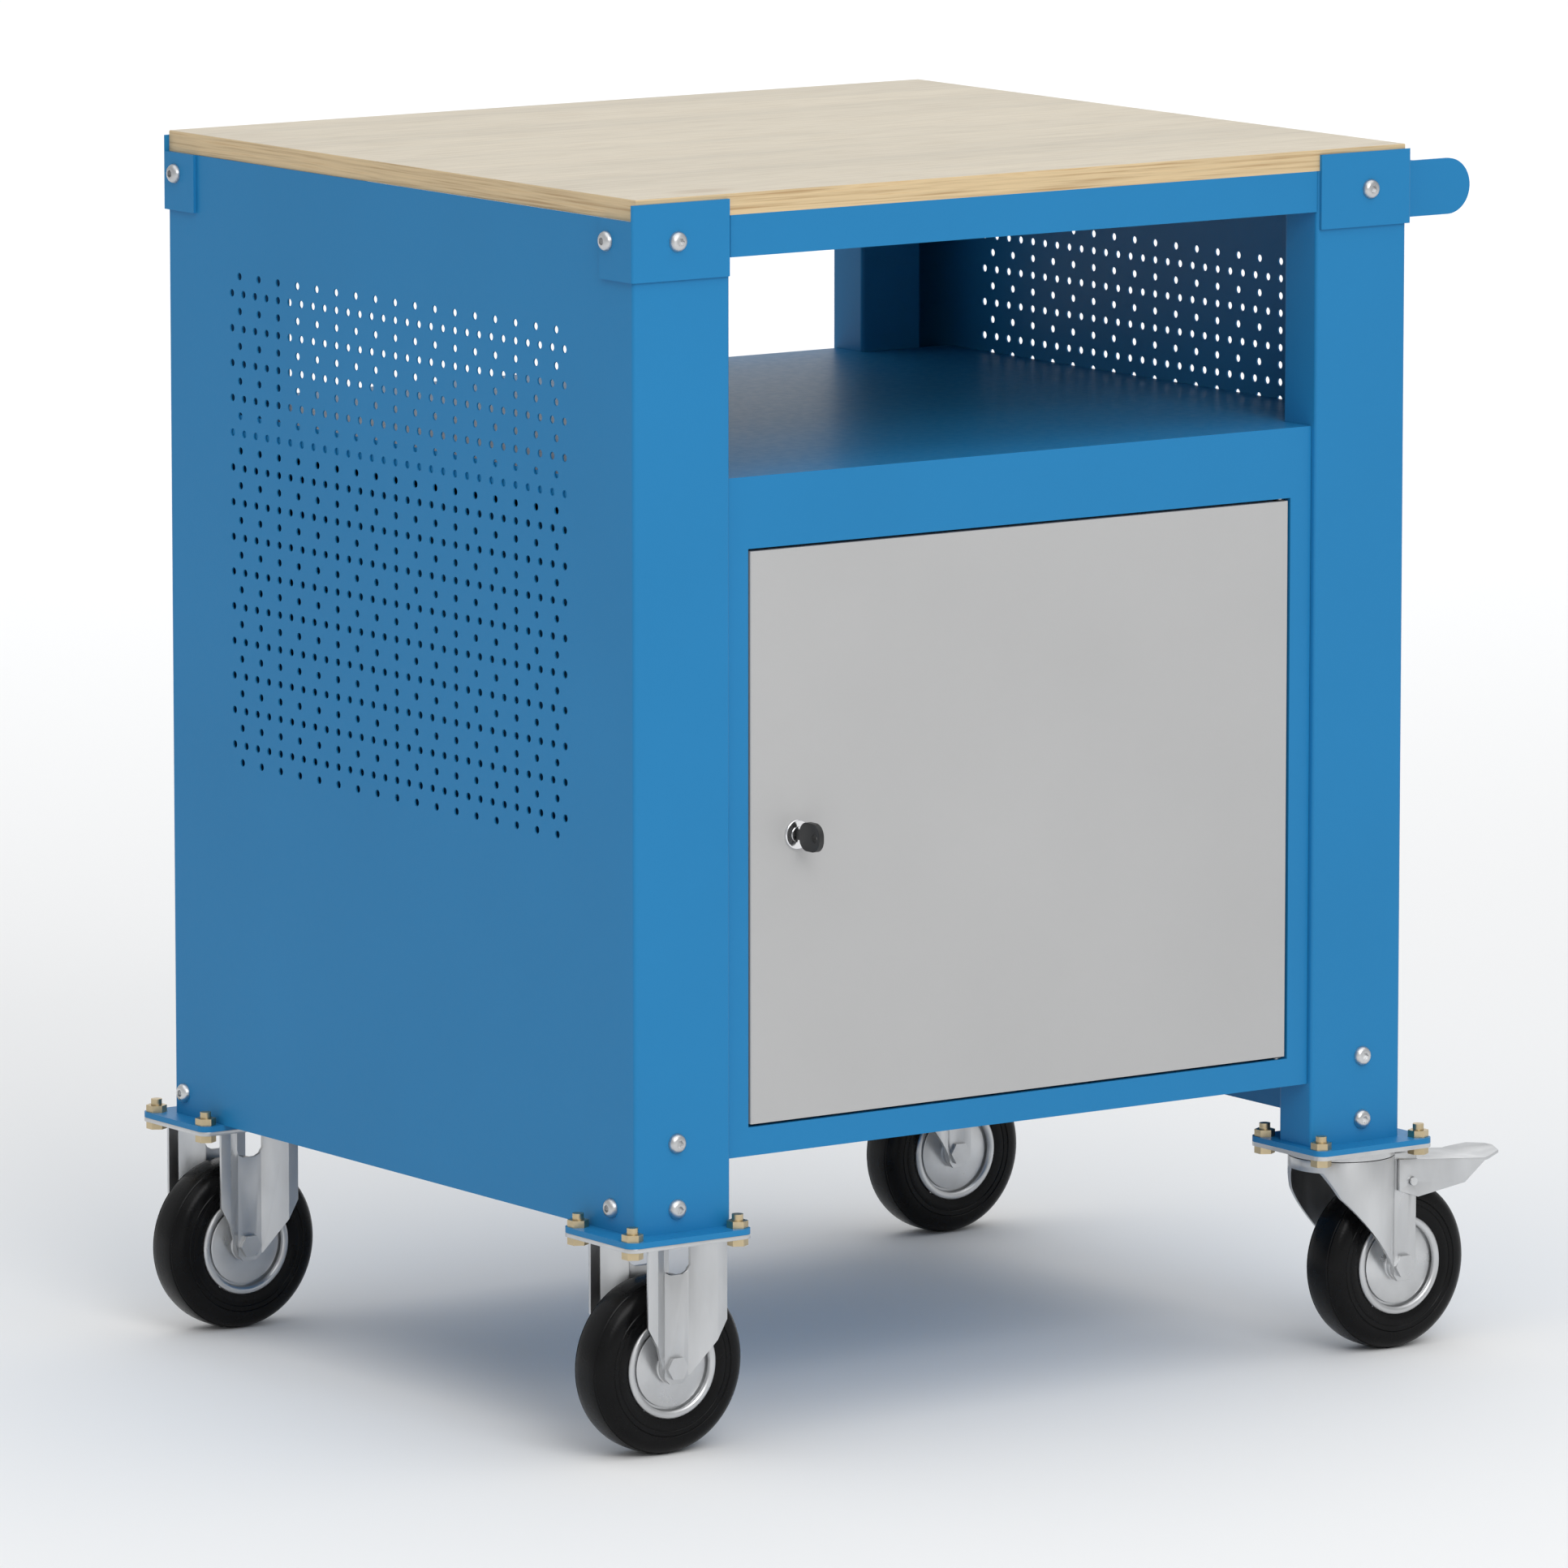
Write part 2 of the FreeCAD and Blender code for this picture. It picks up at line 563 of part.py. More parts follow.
def make_cupboard_wall(name, side):
    """An upright sheet beside the cupboard: front strip with a return, and a rear flange."""
    body = new_body(name)

    def across(rule):
        return rule if side > 0 else f"body_width - ({rule})"

    rear = f"({REAR_FACE} - sheet_skin)"
    drawing = new_sketch(body, "XY_Plane", FLOOR_TOP)
    strip = f"({INNER_LEFT} + strip_width)"
    points = [
        (INNER_LEFT, FACE), (strip, FACE), (strip, f"{FACE} + tray_return"),
        (f"{strip} - sheet_skin", f"{FACE} + tray_return"),
        (f"{strip} - sheet_skin", f"{FACE} + sheet_skin"),
        (f"{INNER_LEFT} + sheet_skin", f"{FACE} + sheet_skin"),
        (f"{INNER_LEFT} + sheet_skin", f"{rear} - sheet_skin"),
        (f"{INNER_LEFT} + back_flange", f"{rear} - sheet_skin"),
        (f"{INNER_LEFT} + back_flange", rear), (INNER_LEFT, rear),
    ]
    draw_outline(drawing, [(across(x), y) for x, y in points])
    pad(body, drawing, f"{OPENING_TOP} - {FLOOR_TOP}")
    start = f"{INNER_LEFT} - sheet_skin"
    if side < 0:
        start = f"{INNER_RIGHT} - 2 * sheet_skin"
    drawing = new_sketch(body, "YZ_Plane", start)
    for along in ("clip_inset + inner_shelf_front", f"{REAR_FACE} - clip_inset"):
        draw_circle(drawing, along, CLIP_Z, "clip_stem")
    pocket(body, drawing, "3 * sheet_skin")
    place(body)


def make_cupboard_floor():
    """The cupboard's bottom tray, whose front lip is the rail below the door."""
    body = new_body("cupboard_floor")
    drawing = new_sketch(body, "YZ_Plane", INNER_LEFT)
    low = "-floor_lip"
    draw_outline(drawing, [
        (FACE, "0"), (FACE, low), (f"{FACE} + tray_return", low),
        (f"{FACE} + tray_return", f"{low} + sheet_skin"),
        (f"{FACE} + sheet_skin", f"{low} + sheet_skin"), (f"{FACE} + sheet_skin", "-sheet_skin"),
        (f"{REAR_FACE} - sheet_skin", "-sheet_skin"), (f"{REAR_FACE} - sheet_skin", low),
        (REAR_FACE, low), (REAR_FACE, "0"),
    ])
    pad(body, drawing, f"{INNER_RIGHT} - {INNER_LEFT}")
    drawing = new_sketch(body, "XY_Plane", "-2 * sheet_skin")
    draw_circle(drawing, HINGE_X, HINGE_Y, "pin_diameter + 2 * pin_clearance")
    pocket(body, drawing, "3 * sheet_skin")
    place(body, z=FLOOR_TOP)


def make_cupboard_back():
    """The sheet that closes the cupboard at the rear, between the shelf's lip and the floor."""
    body = new_body("cupboard_back")
    drawing = new_sketch(body, "XZ_Plane", f"{REAR_FACE} - sheet_skin")
    draw_box(drawing, INNER_LEFT, INNER_RIGHT, FLOOR_TOP, OPENING_TOP)
    pad(body, drawing, "sheet_skin")
    place(body)


def make_inner_shelf():
    """A loose tray inside the cupboard, resting on four clips."""
    body = new_body("inner_shelf")
    low = "-inner_shelf_lip"
    front = "inner_shelf_front"
    rear = f"({REAR_FACE} - 3 * sheet_skin)"
    start = f"({INNER_LEFT} + sheet_skin + inner_shelf_gap)"
    end = f"({INNER_RIGHT} - sheet_skin - inner_shelf_gap)"
    drawing = new_sketch(body, "YZ_Plane", start)
    draw_outline(drawing, [
        (front, "0"), (front, low), (f"{front} + tray_return", low),
        (f"{front} + tray_return", f"{low} + sheet_skin"),
        (f"{front} + sheet_skin", f"{low} + sheet_skin"), (f"{front} + sheet_skin", "-sheet_skin"),
        (f"{rear} - sheet_skin", "-sheet_skin"), (f"{rear} - sheet_skin", low),
        (rear, low), (rear, "0"),
    ])
    pad(body, drawing, f"{end} - {start}")
    for place_across in (start, f"{end} - sheet_skin"):
        drawing = new_sketch(body, "YZ_Plane", place_across)
        draw_box(drawing, f"{front} + sheet_skin / 2", f"{rear} - sheet_skin / 2",
                 low, "-sheet_skin / 2")
        pad(body, drawing, "sheet_skin")
    place(body, z=INNER_SHELF_TOP)


def make_shelf_clips():
    """Four studs in the cupboard's walls that the inner shelf's side flanges rest on."""
    clips = []
    for hand in ("left", "right"):
        for end, along in (("front", "clip_inset + inner_shelf_front"),
                           ("rear", f"{REAR_FACE} - clip_inset")):
            name = f"clip_{hand}_{end}"
            wall = f"{INNER_LEFT} + sheet_skin"
            axis = "x"
            if hand == "right":
                wall = f"{INNER_RIGHT} - sheet_skin"
                axis = "-x"
            stem_start = f"{wall} - sheet_skin" if hand == "left" else f"{wall} + sheet_skin"
            stem = solid_cylinder(f"{name}_stem", "clip_stem", "2 * sheet_skin", axis,
                                  stem_start, along, CLIP_Z)
            stud = solid_cylinder(f"{name}_stud", "clip_diameter", "clip_reach", axis,
                                  wall, along, CLIP_Z)
            clips.append(fused(name, stem, stud))
    group("shelf_clips", clips)


# ---------------------------------------------------------------- door, hinge and lock
def make_door_panel():
    """A folded pan: front skin, four returned sides and a narrow lip round the open rear."""
    body = new_body("door_panel")
    drawing = new_sketch(body, "XZ_Plane", FACE)
    draw_box(drawing, DOOR_LEFT, DOOR_RIGHT, DOOR_BOTTOM, DOOR_TOP)
    pad(body, drawing, "door_thickness")
    left = size("post_width") + size("part_gap") + size("strip_width") + size("door_gap")
    right = size("body_width") - left
    front = size("face_recess")

    def front_upright(edge):
        middle = edge_middle(edge)
        on_side = min(abs(middle.x - left), abs(middle.x - right)) < 0.01
        return is_upright(edge) and on_side and abs(middle.y - front) < 0.01

    round_edges(body, "sheet_skin", front_upright)
    skin = "sheet_skin"
    drawing = new_sketch(body, "XZ_Plane", f"{FACE} + sheet_skin")
    draw_box(drawing, f"{DOOR_LEFT} + {skin}", f"{DOOR_RIGHT} - {skin}",
             f"{DOOR_BOTTOM} + {skin}", f"{DOOR_TOP} - {skin}")
    pocket(body, drawing, "door_thickness - 2 * sheet_skin")
    drawing = new_sketch(body, "XZ_Plane", f"{FACE} + 2 * sheet_skin")
    draw_box(drawing, f"{DOOR_LEFT} + door_lip", f"{DOOR_RIGHT} - door_lip",
             f"{DOOR_BOTTOM} + door_lip", f"{DOOR_TOP} - door_lip")
    pocket(body, drawing, "door_thickness")
    drawing = new_sketch(body, "XZ_Plane", f"{FACE} - sheet_skin")
    draw_circle(drawing, LOCK_X, LOCK_Z, "barrel_diameter + 2 * barrel_clearance")
    pocket(body, drawing, "3 * sheet_skin")
    for start in (f"{DOOR_BOTTOM} - sheet_skin", f"{DOOR_TOP} - 2 * sheet_skin"):
        drawing = new_sketch(body, "XY_Plane", start)
        draw_circle(drawing, HINGE_X, HINGE_Y, "bush_diameter + 2 * pin_clearance")
        pocket(body, drawing, "3 * sheet_skin")
    place(body)


def make_door_stiffener():
    """A hat section down the middle of the door, welded behind its front skin."""
    body = new_body("door_stiffener")
    middle = f"(({DOOR_LEFT} + {DOOR_RIGHT}) / 2)"
    inside = f"({FACE} + sheet_skin)"
    crown = f"({inside} + stiffener_depth)"
    half = "stiffener_width / 2"
    drawing = new_sketch(body, "XY_Plane", f"{DOOR_BOTTOM} + 2 * sheet_skin")
    draw_outline(drawing, [
        (f"{middle} - {half}", inside), (f"{middle} - {half} / 2 + sheet_skin", inside),
        (f"{middle} - {half} / 2 + sheet_skin", f"{crown} - sheet_skin"),
        (f"{middle} + {half} / 2 - sheet_skin", f"{crown} - sheet_skin"),
        (f"{middle} + {half} / 2 - sheet_skin", inside), (f"{middle} + {half}", inside),
        (f"{middle} + {half}", f"{inside} + sheet_skin"),
        (f"{middle} + {half} / 2", f"{inside} + sheet_skin"), (f"{middle} + {half} / 2", crown),
        (f"{middle} - {half} / 2", crown), (f"{middle} - {half} / 2", f"{inside} + sheet_skin"),
        (f"{middle} - {half}", f"{inside} + sheet_skin"),
    ])
    pad(body, drawing, f"{DOOR_TOP} - {DOOR_BOTTOM} - 4 * sheet_skin")
    place(body)


def make_hinge_parts():
    """Two pins fixed to the frame, and the nylon bushes in the door that turn on them."""
    bore = "pin_diameter + 2 * pin_clearance"
    pins = []
    bushes = []
    for end, axis, head_z, bush_z, out in (
            ("upper", "-z", f"{OPENING_TOP} + sheet_skin", DOOR_TOP, "z"),
            ("lower", "z", f"{FLOOR_TOP} - sheet_skin", DOOR_BOTTOM, "-z")):
        shank = solid_cylinder(f"pin_{end}_shank", "pin_diameter",
                               "sheet_skin + door_gap + pin_reach", axis,
                               HINGE_X, HINGE_Y, head_z)
        head = solid_cylinder(f"pin_{end}_head", "pin_head_diameter", "pin_head", out,
                              HINGE_X, HINGE_Y, head_z)
        pins.append(fused(f"pin_{end}", shank, head))
        sleeve = solid_cylinder(f"bush_{end}_sleeve", "bush_diameter", "bush_length", axis,
                                HINGE_X, HINGE_Y, bush_z)
        flange = solid_cylinder(f"bush_{end}_flange", "bush_flange", "bush_flange_height", out,
                                HINGE_X, HINGE_Y, bush_z)
        tool = solid_cylinder(f"bush_{end}_bore", bore, "2 * bush_length + 8 * bush_flange_height",
                              axis, HINGE_X, HINGE_Y,
                              f"{bush_z} {'+' if out == 'z' else '-'} 3 * bush_flange_height")
        blank = fused(f"bush_{end}_blank", sleeve, flange)
        bushes.append(cut(f"bush_{end}", blank, tool))
    group("hinge_pins", pins)
    group("hinge_bushes", bushes)


def make_lock_body():
    """The lock's housing: a thin round escutcheon in front and a barrel through the door."""
    body = new_body("lock_body")
    drawing = new_sketch(body, "XZ_Plane", "-escutcheon_height")
    draw_circle(drawing, "0", "0", "escutcheon_diameter")
    pad(body, drawing, "escutcheon_height")
    round_front_rim(body, "escutcheon_height / 2", size("escutcheon_height"))
    drawing = new_sketch(body, "XZ_Plane", "0")
    draw_circle(drawing, "0", "0", "barrel_diameter")
    pad(body, drawing, "barrel_length")
    drawing = new_sketch(body, "XZ_Plane", "-2 * escutcheon_height")
    draw_circle(drawing, "0", "0", "plug_diameter + 2 * plug_clearance")
    pocket(body, drawing, "2 * barrel_length")
    place(body, x=LOCK_X, y=FACE, z=LOCK_Z)


def round_front_rim(body, radius, forward):
    """Round the outer circle on a body's front face, forward of the drawing's zero by a size."""
    def front_circle(edge):
        return abs(edge_middle(edge).y + forward) < 0.01

    round_edges(body, radius, front_circle)


def make_lock_nut():
    """The thin hexagonal nut that clamps the lock's barrel behind the door's skin."""
    blank = solid_hexagon("lock_nut_blank", "lock_nut_width", "lock_nut_height", "y",
                          y="sheet_skin")
    tool = solid_cylinder("lock_nut_bore", "barrel_diameter + 2 * barrel_clearance",
                          "3 * lock_nut_height", "y", y="-sheet_skin")
    nut = cut("lock_nut", blank, tool)
    nut.Label = "lock_nut"
    place(nut, x=LOCK_X, y=FACE, z=LOCK_Z)
    parts.append(nut)


def make_lock_plug():
    """The turning cylinder that takes the key, with a neck behind it that carries the cam."""
    body = new_body("lock_plug")
    front = "-escutcheon_height - plug_proud"
    drawing = new_sketch(body, "XZ_Plane", front)
    draw_circle(drawing, "0", "0", "plug_diameter")
    pad(body, drawing, f"barrel_length + cam_gap - ({front})")
    drawing = new_sketch(body, "XZ_Plane", "barrel_length")
    draw_circle(drawing, "0", "0", "cam_screw_diameter")
    pad(body, drawing, "3 * cam_thickness")
    drawing = new_sketch(body, "XZ_Plane", f"{front} - 1")
    half_width = "key_slot_width / 2"
    half_height = "key_slot_height / 2"
    draw_box(drawing, f"-{half_width}", half_width, f"-{half_height}", half_height)
    pocket(body, drawing, "key_blade_length + 2 * plug_proud + 1")
    place(body, x=LOCK_X, y=FACE, z=LOCK_Z)


def make_lock_cam():
    """The flat tongue behind the door; it hangs down, and a quarter turn swings it behind
    the strip at the left."""
    body = new_body("lock_cam")
    drawing = new_sketch(body, "XZ_Plane", "barrel_length + cam_gap")
    draw_box(drawing, "-cam_width / 2", "cam_width / 2", "-cam_length", "cam_width / 2")
    pad(body, drawing, "cam_thickness")
    low = -size("cam_length")

    def tip(edge):
        return runs_along_y(edge) and abs(edge_middle(edge).z - low) < 0.01

    round_edges(body, "cam_width / 3", tip)
    drawing = new_sketch(body, "XZ_Plane", "barrel_length - cam_thickness")
    draw_circle(drawing, "0", "0", "cam_screw_diameter + 2 * pin_clearance")
    pocket(body, drawing, "4 * cam_thickness")
    place(body, x=LOCK_X, y=FACE, z=LOCK_Z)


def make_key():
    """A flat key: an oval bow with a ring hole and a steel blade in the plug's slot."""
    body = new_body("key")
    face = "(-escutcheon_height - plug_proud)"
    bow_end = f"({face} - key_bow_gap)"
    drawing = new_sketch(body, "YZ_Plane", "-key_bow_thickness / 2")
    draw_box(drawing, f"{bow_end} - key_bow_length", bow_end,
             "-key_bow_width / 2", "key_bow_width / 2")
    pad(body, drawing, "key_bow_thickness")

    def bow_corner(edge):
        return abs(edge.tangentAt(edge.FirstParameter).x) > 0.999

    round_edges(body, "key_bow_width * 0.45", bow_corner)
    drawing = new_sketch(body, "YZ_Plane", "-key_bow_thickness")
    draw_circle(drawing, f"{bow_end} - key_bow_length + key_ring_hole", "0", "key_ring_hole")
    pocket(body, drawing, "2 * key_bow_thickness")
    drawing = new_sketch(body, "YZ_Plane", "-key_blade_width / 2")
    draw_box(drawing, f"{bow_end} - key_bow_thickness", f"{face} + key_blade_length",
             "-key_blade_height / 2", "key_blade_height / 2")
    pad(body, drawing, "key_blade_width")
    place(body, x=LOCK_X, y=FACE, z=LOCK_Z)


# ---------------------------------------------------------------- push handle
def make_handle_plate(name, y, turn):
    """An upright plate with a round end that carries one end of the bar, and its screwed foot."""
    body = new_body(name)
    forward = turn == 0
    arm_start = "0" if forward else "-handle_plate_skin"
    foot_start = "0" if forward else "-handle_plate_skin - handle_foot"
    drawing = new_sketch(body, "XZ_Plane", arm_start)
    draw_box(drawing, "0", "handle_reach", "-handle_height", "0")
    pad(body, drawing, "handle_plate_skin")
    reach = size("handle_reach")

    def round_end(edge):
        return runs_along_y(edge) and abs(edge_middle(edge).x - reach) < 0.01

    round_edges(body, "handle_height / 2 - 0.01", round_end)
    drawing = new_sketch(body, "YZ_Plane", "0")
    draw_box(drawing, foot_start, f"{foot_start} + handle_foot + handle_plate_skin",
             "-handle_height", "0")
    pad(body, drawing, "handle_plate_skin")
    along = "screw_back - handle_set_back"
    if not forward:
        along = f"-({along})"
    drawing = new_sketch(body, "YZ_Plane", "-handle_plate_skin")
    for drop in ("bracket_screw_drop", "handle_screw_drop"):
        draw_circle(drawing, along, f"-{drop}", "screw_diameter + screw_clearance")
    pocket(body, drawing, "3 * handle_plate_skin")
    place(body, x=HANDLE_FACE, y=y, z=SIDE_TOP)


def make_handle_bar():
    """A round tube between the two handle plates."""
    start = "(handle_set_back + handle_plate_skin)"
    length = f"body_depth - 2 * {start}"
    outside = solid_cylinder("handle_bar_outside", "handle_bar_diameter", length, "y")
    inside = solid_cylinder("handle_bar_inside", "handle_bar_diameter - 2 * handle_bar_wall",
                            length, "y")
    bar = cut("handle_bar", outside, inside)
    bar.Label = "handle_bar"
    place(bar, x=HANDLE_BAR_X, y=start, z=HANDLE_BAR_Z)
    parts.append(bar)


# ---------------------------------------------------------------- screws and nuts
def make_screw(name, axis, x, y, z, length):
    """A button-head screw: its head starts at the point and its shank runs along the axis."""
    back = {"y": "-y", "-y": "y", "x": "-x", "-x": "x"}[axis]
    shank = solid_cylinder(f"{name}_shank", "screw_diameter", length, axis, x, y, z)
    head = solid_cylinder(f"{name}_head", "screw_head_diameter", "screw_head_height", back,
                          x, y, z)
    dome = doc.addObject("Part::Fillet", f"{name}_dome")
    doc.recompute()
    tops = [i + 1 for i, edge in enumerate(head.Shape.Edges) if is_outer_circle(edge, head, back)]
    dome.Base = head
    dome.Edges = [(tops[0], size("screw_head_height") * 0.9, size("screw_head_height") * 0.9)]
    blank = fused(f"{name}_blank", dome, shank)
    shift = {"x": (1, 0), "-x": (-1, 0), "y": (0, 1), "-y": (0, -1)}[back]
    start = "(screw_head_height - socket_depth)"
    socket = solid_hexagon(f"{name}_socket", "socket_width", "2 * socket_depth", back,
                           f"{x} + {shift[0]} * {start}", f"{y} + {shift[1]} * {start}", z)
    return cut(name, blank, socket)


def is_outer_circle(edge, head, back):
    """Whether an edge is the circle at a screw head's free end."""
    if edge.Curve.TypeId != "Part::GeomCircle":
        return False
    box = head.Shape.BoundBox
    ends = {"x": box.XMax, "-x": box.XMin, "y": box.YMax, "-y": box.YMin}
    middle = edge_middle(edge)
    along = middle.x if "x" in back else middle.y
    return abs(along - ends[back]) < 0.01


def make_nut(name, axis, x, y, z):
    """A hexagonal nut whose seat is at the point and whose body runs along the axis."""
    blank = solid_hexagon(f"{name}_blank", "nut_width", "nut_height", axis, x, y, z)
    tool = solid_cylinder(f"{name}_bore", "screw_diameter + 0.1", "nut_height", axis, x, y, z)
    return cut(name, blank, tool)


def make_corner_screws():
    """The screws through each corner bracket into its post, with nuts inside the post."""
    high = f"{SIDE_TOP} - bracket_screw_drop"
    items = []
    for hand, x in (("left", "screw_across"), ("right", "body_width - screw_across")):
        for end, y, inner, axis in (
                ("front", "-bracket_skin", "side_skin", "y"),
                ("rear", "body_depth + bracket_skin", "body_depth - side_skin", "-y")):
            name = f"corner_{end}_{hand}"
            items.append(make_screw(f"{name}_screw", axis, x, y, high, "screw_length"))
            items.append(make_nut(f"{name}_nut", axis, x, inner, high))
    for end, left_y, y in (("front", "screw_back", "screw_back"),
                           ("rear", "body_depth - screw_back_plain", "body_depth - screw_back")):
        name = f"side_{end}"
        items.append(make_screw(f"{name}_left_screw", "x", "-bracket_skin", left_y, high,
                                "screw_length"))
        items.append(make_nut(f"{name}_left_nut", "x", "side_skin", left_y, high))
        for step, drop in (("upper", "bracket_screw_drop"), ("lower", "handle_screw_drop")):
            up = f"{SIDE_TOP} - {drop}"
            outer = "body_width + bracket_skin + handle_plate_skin"
            items.append(make_screw(f"{name}_right_{step}_screw", "-x", outer, y, up,
                                    "screw_length + handle_plate_skin"))
            items.append(make_nut(f"{name}_right_{step}_nut", "-x", "body_width - side_skin",
                                  y, up))
    group("corner_screws", items)


def make_lower_screws():
    """The screws near each post's foot: two in its front or rear face and one in its side."""
    items = []
    low = f"{SIDE_BOTTOM} + low_screw_rise"
    for hand, x in (("left", "screw_across"), ("right", "body_width - screw_across")):
        for end, y, inner, axis in (("front", "0", "side_skin", "y"),
                                    ("rear", "body_depth", "body_depth - side_skin", "-y")):
            for step, up in (("low", low), ("high", f"{low} + low_screw_pitch")):
                name = f"foot_{end}_{hand}_{step}"
                items.append(make_screw(f"{name}_screw", axis, x, y, up, "screw_length"))
                items.append(make_nut(f"{name}_nut", axis, x, inner, up))
    for hand, x, inner, axis, inset in (
            ("left", "0", "side_skin", "x", "screw_back_plain"),
            ("right", "body_width", "body_width - side_skin", "-x", "screw_back")):
        for end, y in (("front", "screw_back"), ("rear", f"body_depth - {inset}")):
            name = f"foot_side_{end}_{hand}"
            items.append(make_screw(f"{name}_screw", axis, x, y, low, "screw_length"))
            items.append(make_nut(f"{name}_nut", axis, inner, y, low))
    group("lower_screws", items)


# ---------------------------------------------------------------- castor mounting plates
def draw_plate(body, z, skin):
    """A castor plate about its castor's axis: rounded corners and four bolt holes."""
    drawing = new_sketch(body, "XY_Plane", z)
    draw_box(drawing, "-plate_width / 2", "plate_width / 2", "-plate_depth / 2",
             "plate_depth / 2")
    pad(body, drawing, skin)
    round_edges(body, "plate_corner", is_upright)
    drawing = new_sketch(body, "XY_Plane", f"{z} - {skin}")
    for x in ("-bolt_pitch_across / 2", "bolt_pitch_across / 2"):
        for y in ("-bolt_pitch_along / 2", "bolt_pitch_along / 2"):
            draw_circle(drawing, x, y, "screw_diameter + screw_clearance")
    pocket(body, drawing, f"3 * {skin}")


def make_castor_mount(corner):
    """The painted plate between a post's foot and its castor."""
    body = new_body(f"{corner}_castor_mount")
    draw_plate(body, "castor_height", "mount_plate_skin")
    x, y = CORNERS[corner]
    place(body, x=x, y=y)


def make_castor_bolts():
    """Hexagon bolts up through castor plate and mounting plate, and their nuts on top."""
    bolts = []
    nuts = []
    under = "castor_height - castor_plate_skin"
    for corner, (x, y) in CORNERS.items():
        for i, (side, end) in enumerate(((-1, -1), (1, -1), (-1, 1), (1, 1))):
            name = f"{corner}_bolt_{i + 1}"
            across = f"{x} + {side} * bolt_pitch_across / 2"
            along = f"{y} + {end} * bolt_pitch_along / 2"
            head = solid_hexagon(f"{name}_head", "nut_width", "bolt_head_height", "-z",
                                 across, along, under)
            shank = solid_cylinder(f"{name}_shank", "screw_diameter", "bolt_length", "z",
                                   across, along, under)
            bolts.append(fused(name, head, shank))
            nuts.append(make_nut(f"{name}_nut", "z", across, along, SIDE_BOTTOM))
    group("castor_bolts", bolts)
    group("castor_nuts", nuts)


# ---------------------------------------------------------------- castors
def make_fixed_fork(corner):
    """A pressed fork that can't swivel: top plate and two legs stiffened by a deep groove."""
    body = new_body(f"{corner}_fork")
    draw_plate(body, "castor_height - castor_plate_skin", "castor_plate_skin")
    low = f"({WHEEL_Z} - leg_reach)"
    half = "fixed_leg_width / 2"
    floor = "fixed_groove_floor / 2"
    mouth = "fixed_groove_mouth / 2"
    flat = "fixed_leg_flat"
    deep = "fork_half_width"
    height = f"castor_height - castor_plate_skin / 2 - {low}"
    for hand in (-1, 1):
        drawing = new_sketch(body, "XY_Plane", low)
        outer = [(f"-{half}", flat), (f"-{mouth}", flat), (f"-{floor}", deep), (floor, deep),
                 (mouth, flat), (half, flat)]
        inner = [(x, f"{y} - leg_skin") for x, y in reversed(outer)]
        draw_outline(drawing, [(x, f"{hand} * ({y})") for x, y in outer + inner])
        pad(body, drawing, height)
    for hand in (-1, 1):
        drawing = new_sketch(body, "XZ_Plane", "-plate_depth")
        draw_outline(drawing, [
            (f"{hand} * fixed_leg_width", f"{low} - 1"), (f"{hand} * leg_reach / 2", f"{low} - 1"),
            (f"{hand} * leg_reach / 2", low), (f"{hand} * leg_reach", f"{low} + leg_reach / 2"),
            (f"{hand} * ({half} + leg_skin)", "fixed_taper_height"),
            (f"{hand} * fixed_leg_width", "fixed_taper_height"),
        ])
        pocket(body, drawing, "2 * plate_depth")
    drawing = new_sketch(body, "XZ_Plane", "-plate_depth")
    window = "leg_window / 2"
    corner_up = "leg_window_bottom + leg_window_corner"
    window_top = "castor_height - castor_plate_skin"
    draw_outline(drawing, [
        (f"-{window}", window_top), (f"-{window}", corner_up),
        (f"-{window} + leg_window_corner / 3", "leg_window_bottom + leg_window_corner / 3"),
        (f"-{window} + leg_window_corner", "leg_window_bottom"),
        (f"{window} - leg_window_corner", "leg_window_bottom"),
        (f"{window} - leg_window_corner / 3", "leg_window_bottom + leg_window_corner / 3"),
        (window, corner_up), (window, window_top),
    ])
    pocket(body, drawing, "2 * plate_depth")
    drawing = new_sketch(body, "XZ_Plane", "-plate_depth")
    draw_circle(drawing, "0", WHEEL_Z, "axle_diameter + 2 * axle_clearance")
    pocket(body, drawing, "2 * plate_depth")
    x, y = CORNERS[corner]
    place(body, x=x, y=y)


def make_axle(name, x, y):
    """A wheel's axle bolt: a low hexagon head in front of the fork and a nut behind it."""
    face = "fork_half_width"
    head = solid_hexagon(f"{name}_head", "axle_head_width", "axle_head_height", "-y",
                         x, f"{y} - {face}", WHEEL_Z)
    shank = solid_cylinder(f"{name}_shank", "axle_diameter", f"2 * {face}", "y",
                           x, f"{y} - {face}", WHEEL_Z)
    nut = solid_hexagon(f"{name}_end", "axle_head_width", "axle_head_height", "y",
                        x, f"{y} + {face}", WHEEL_Z)
    return fused(name, head, shank, nut)


def make_fixed_axles():
    """The axle bolts of the two castors that don't swivel."""
    group("fixed_axles", [make_axle(f"{corner}_axle", *CORNERS[corner])
                          for corner in LEFT_CORNERS])


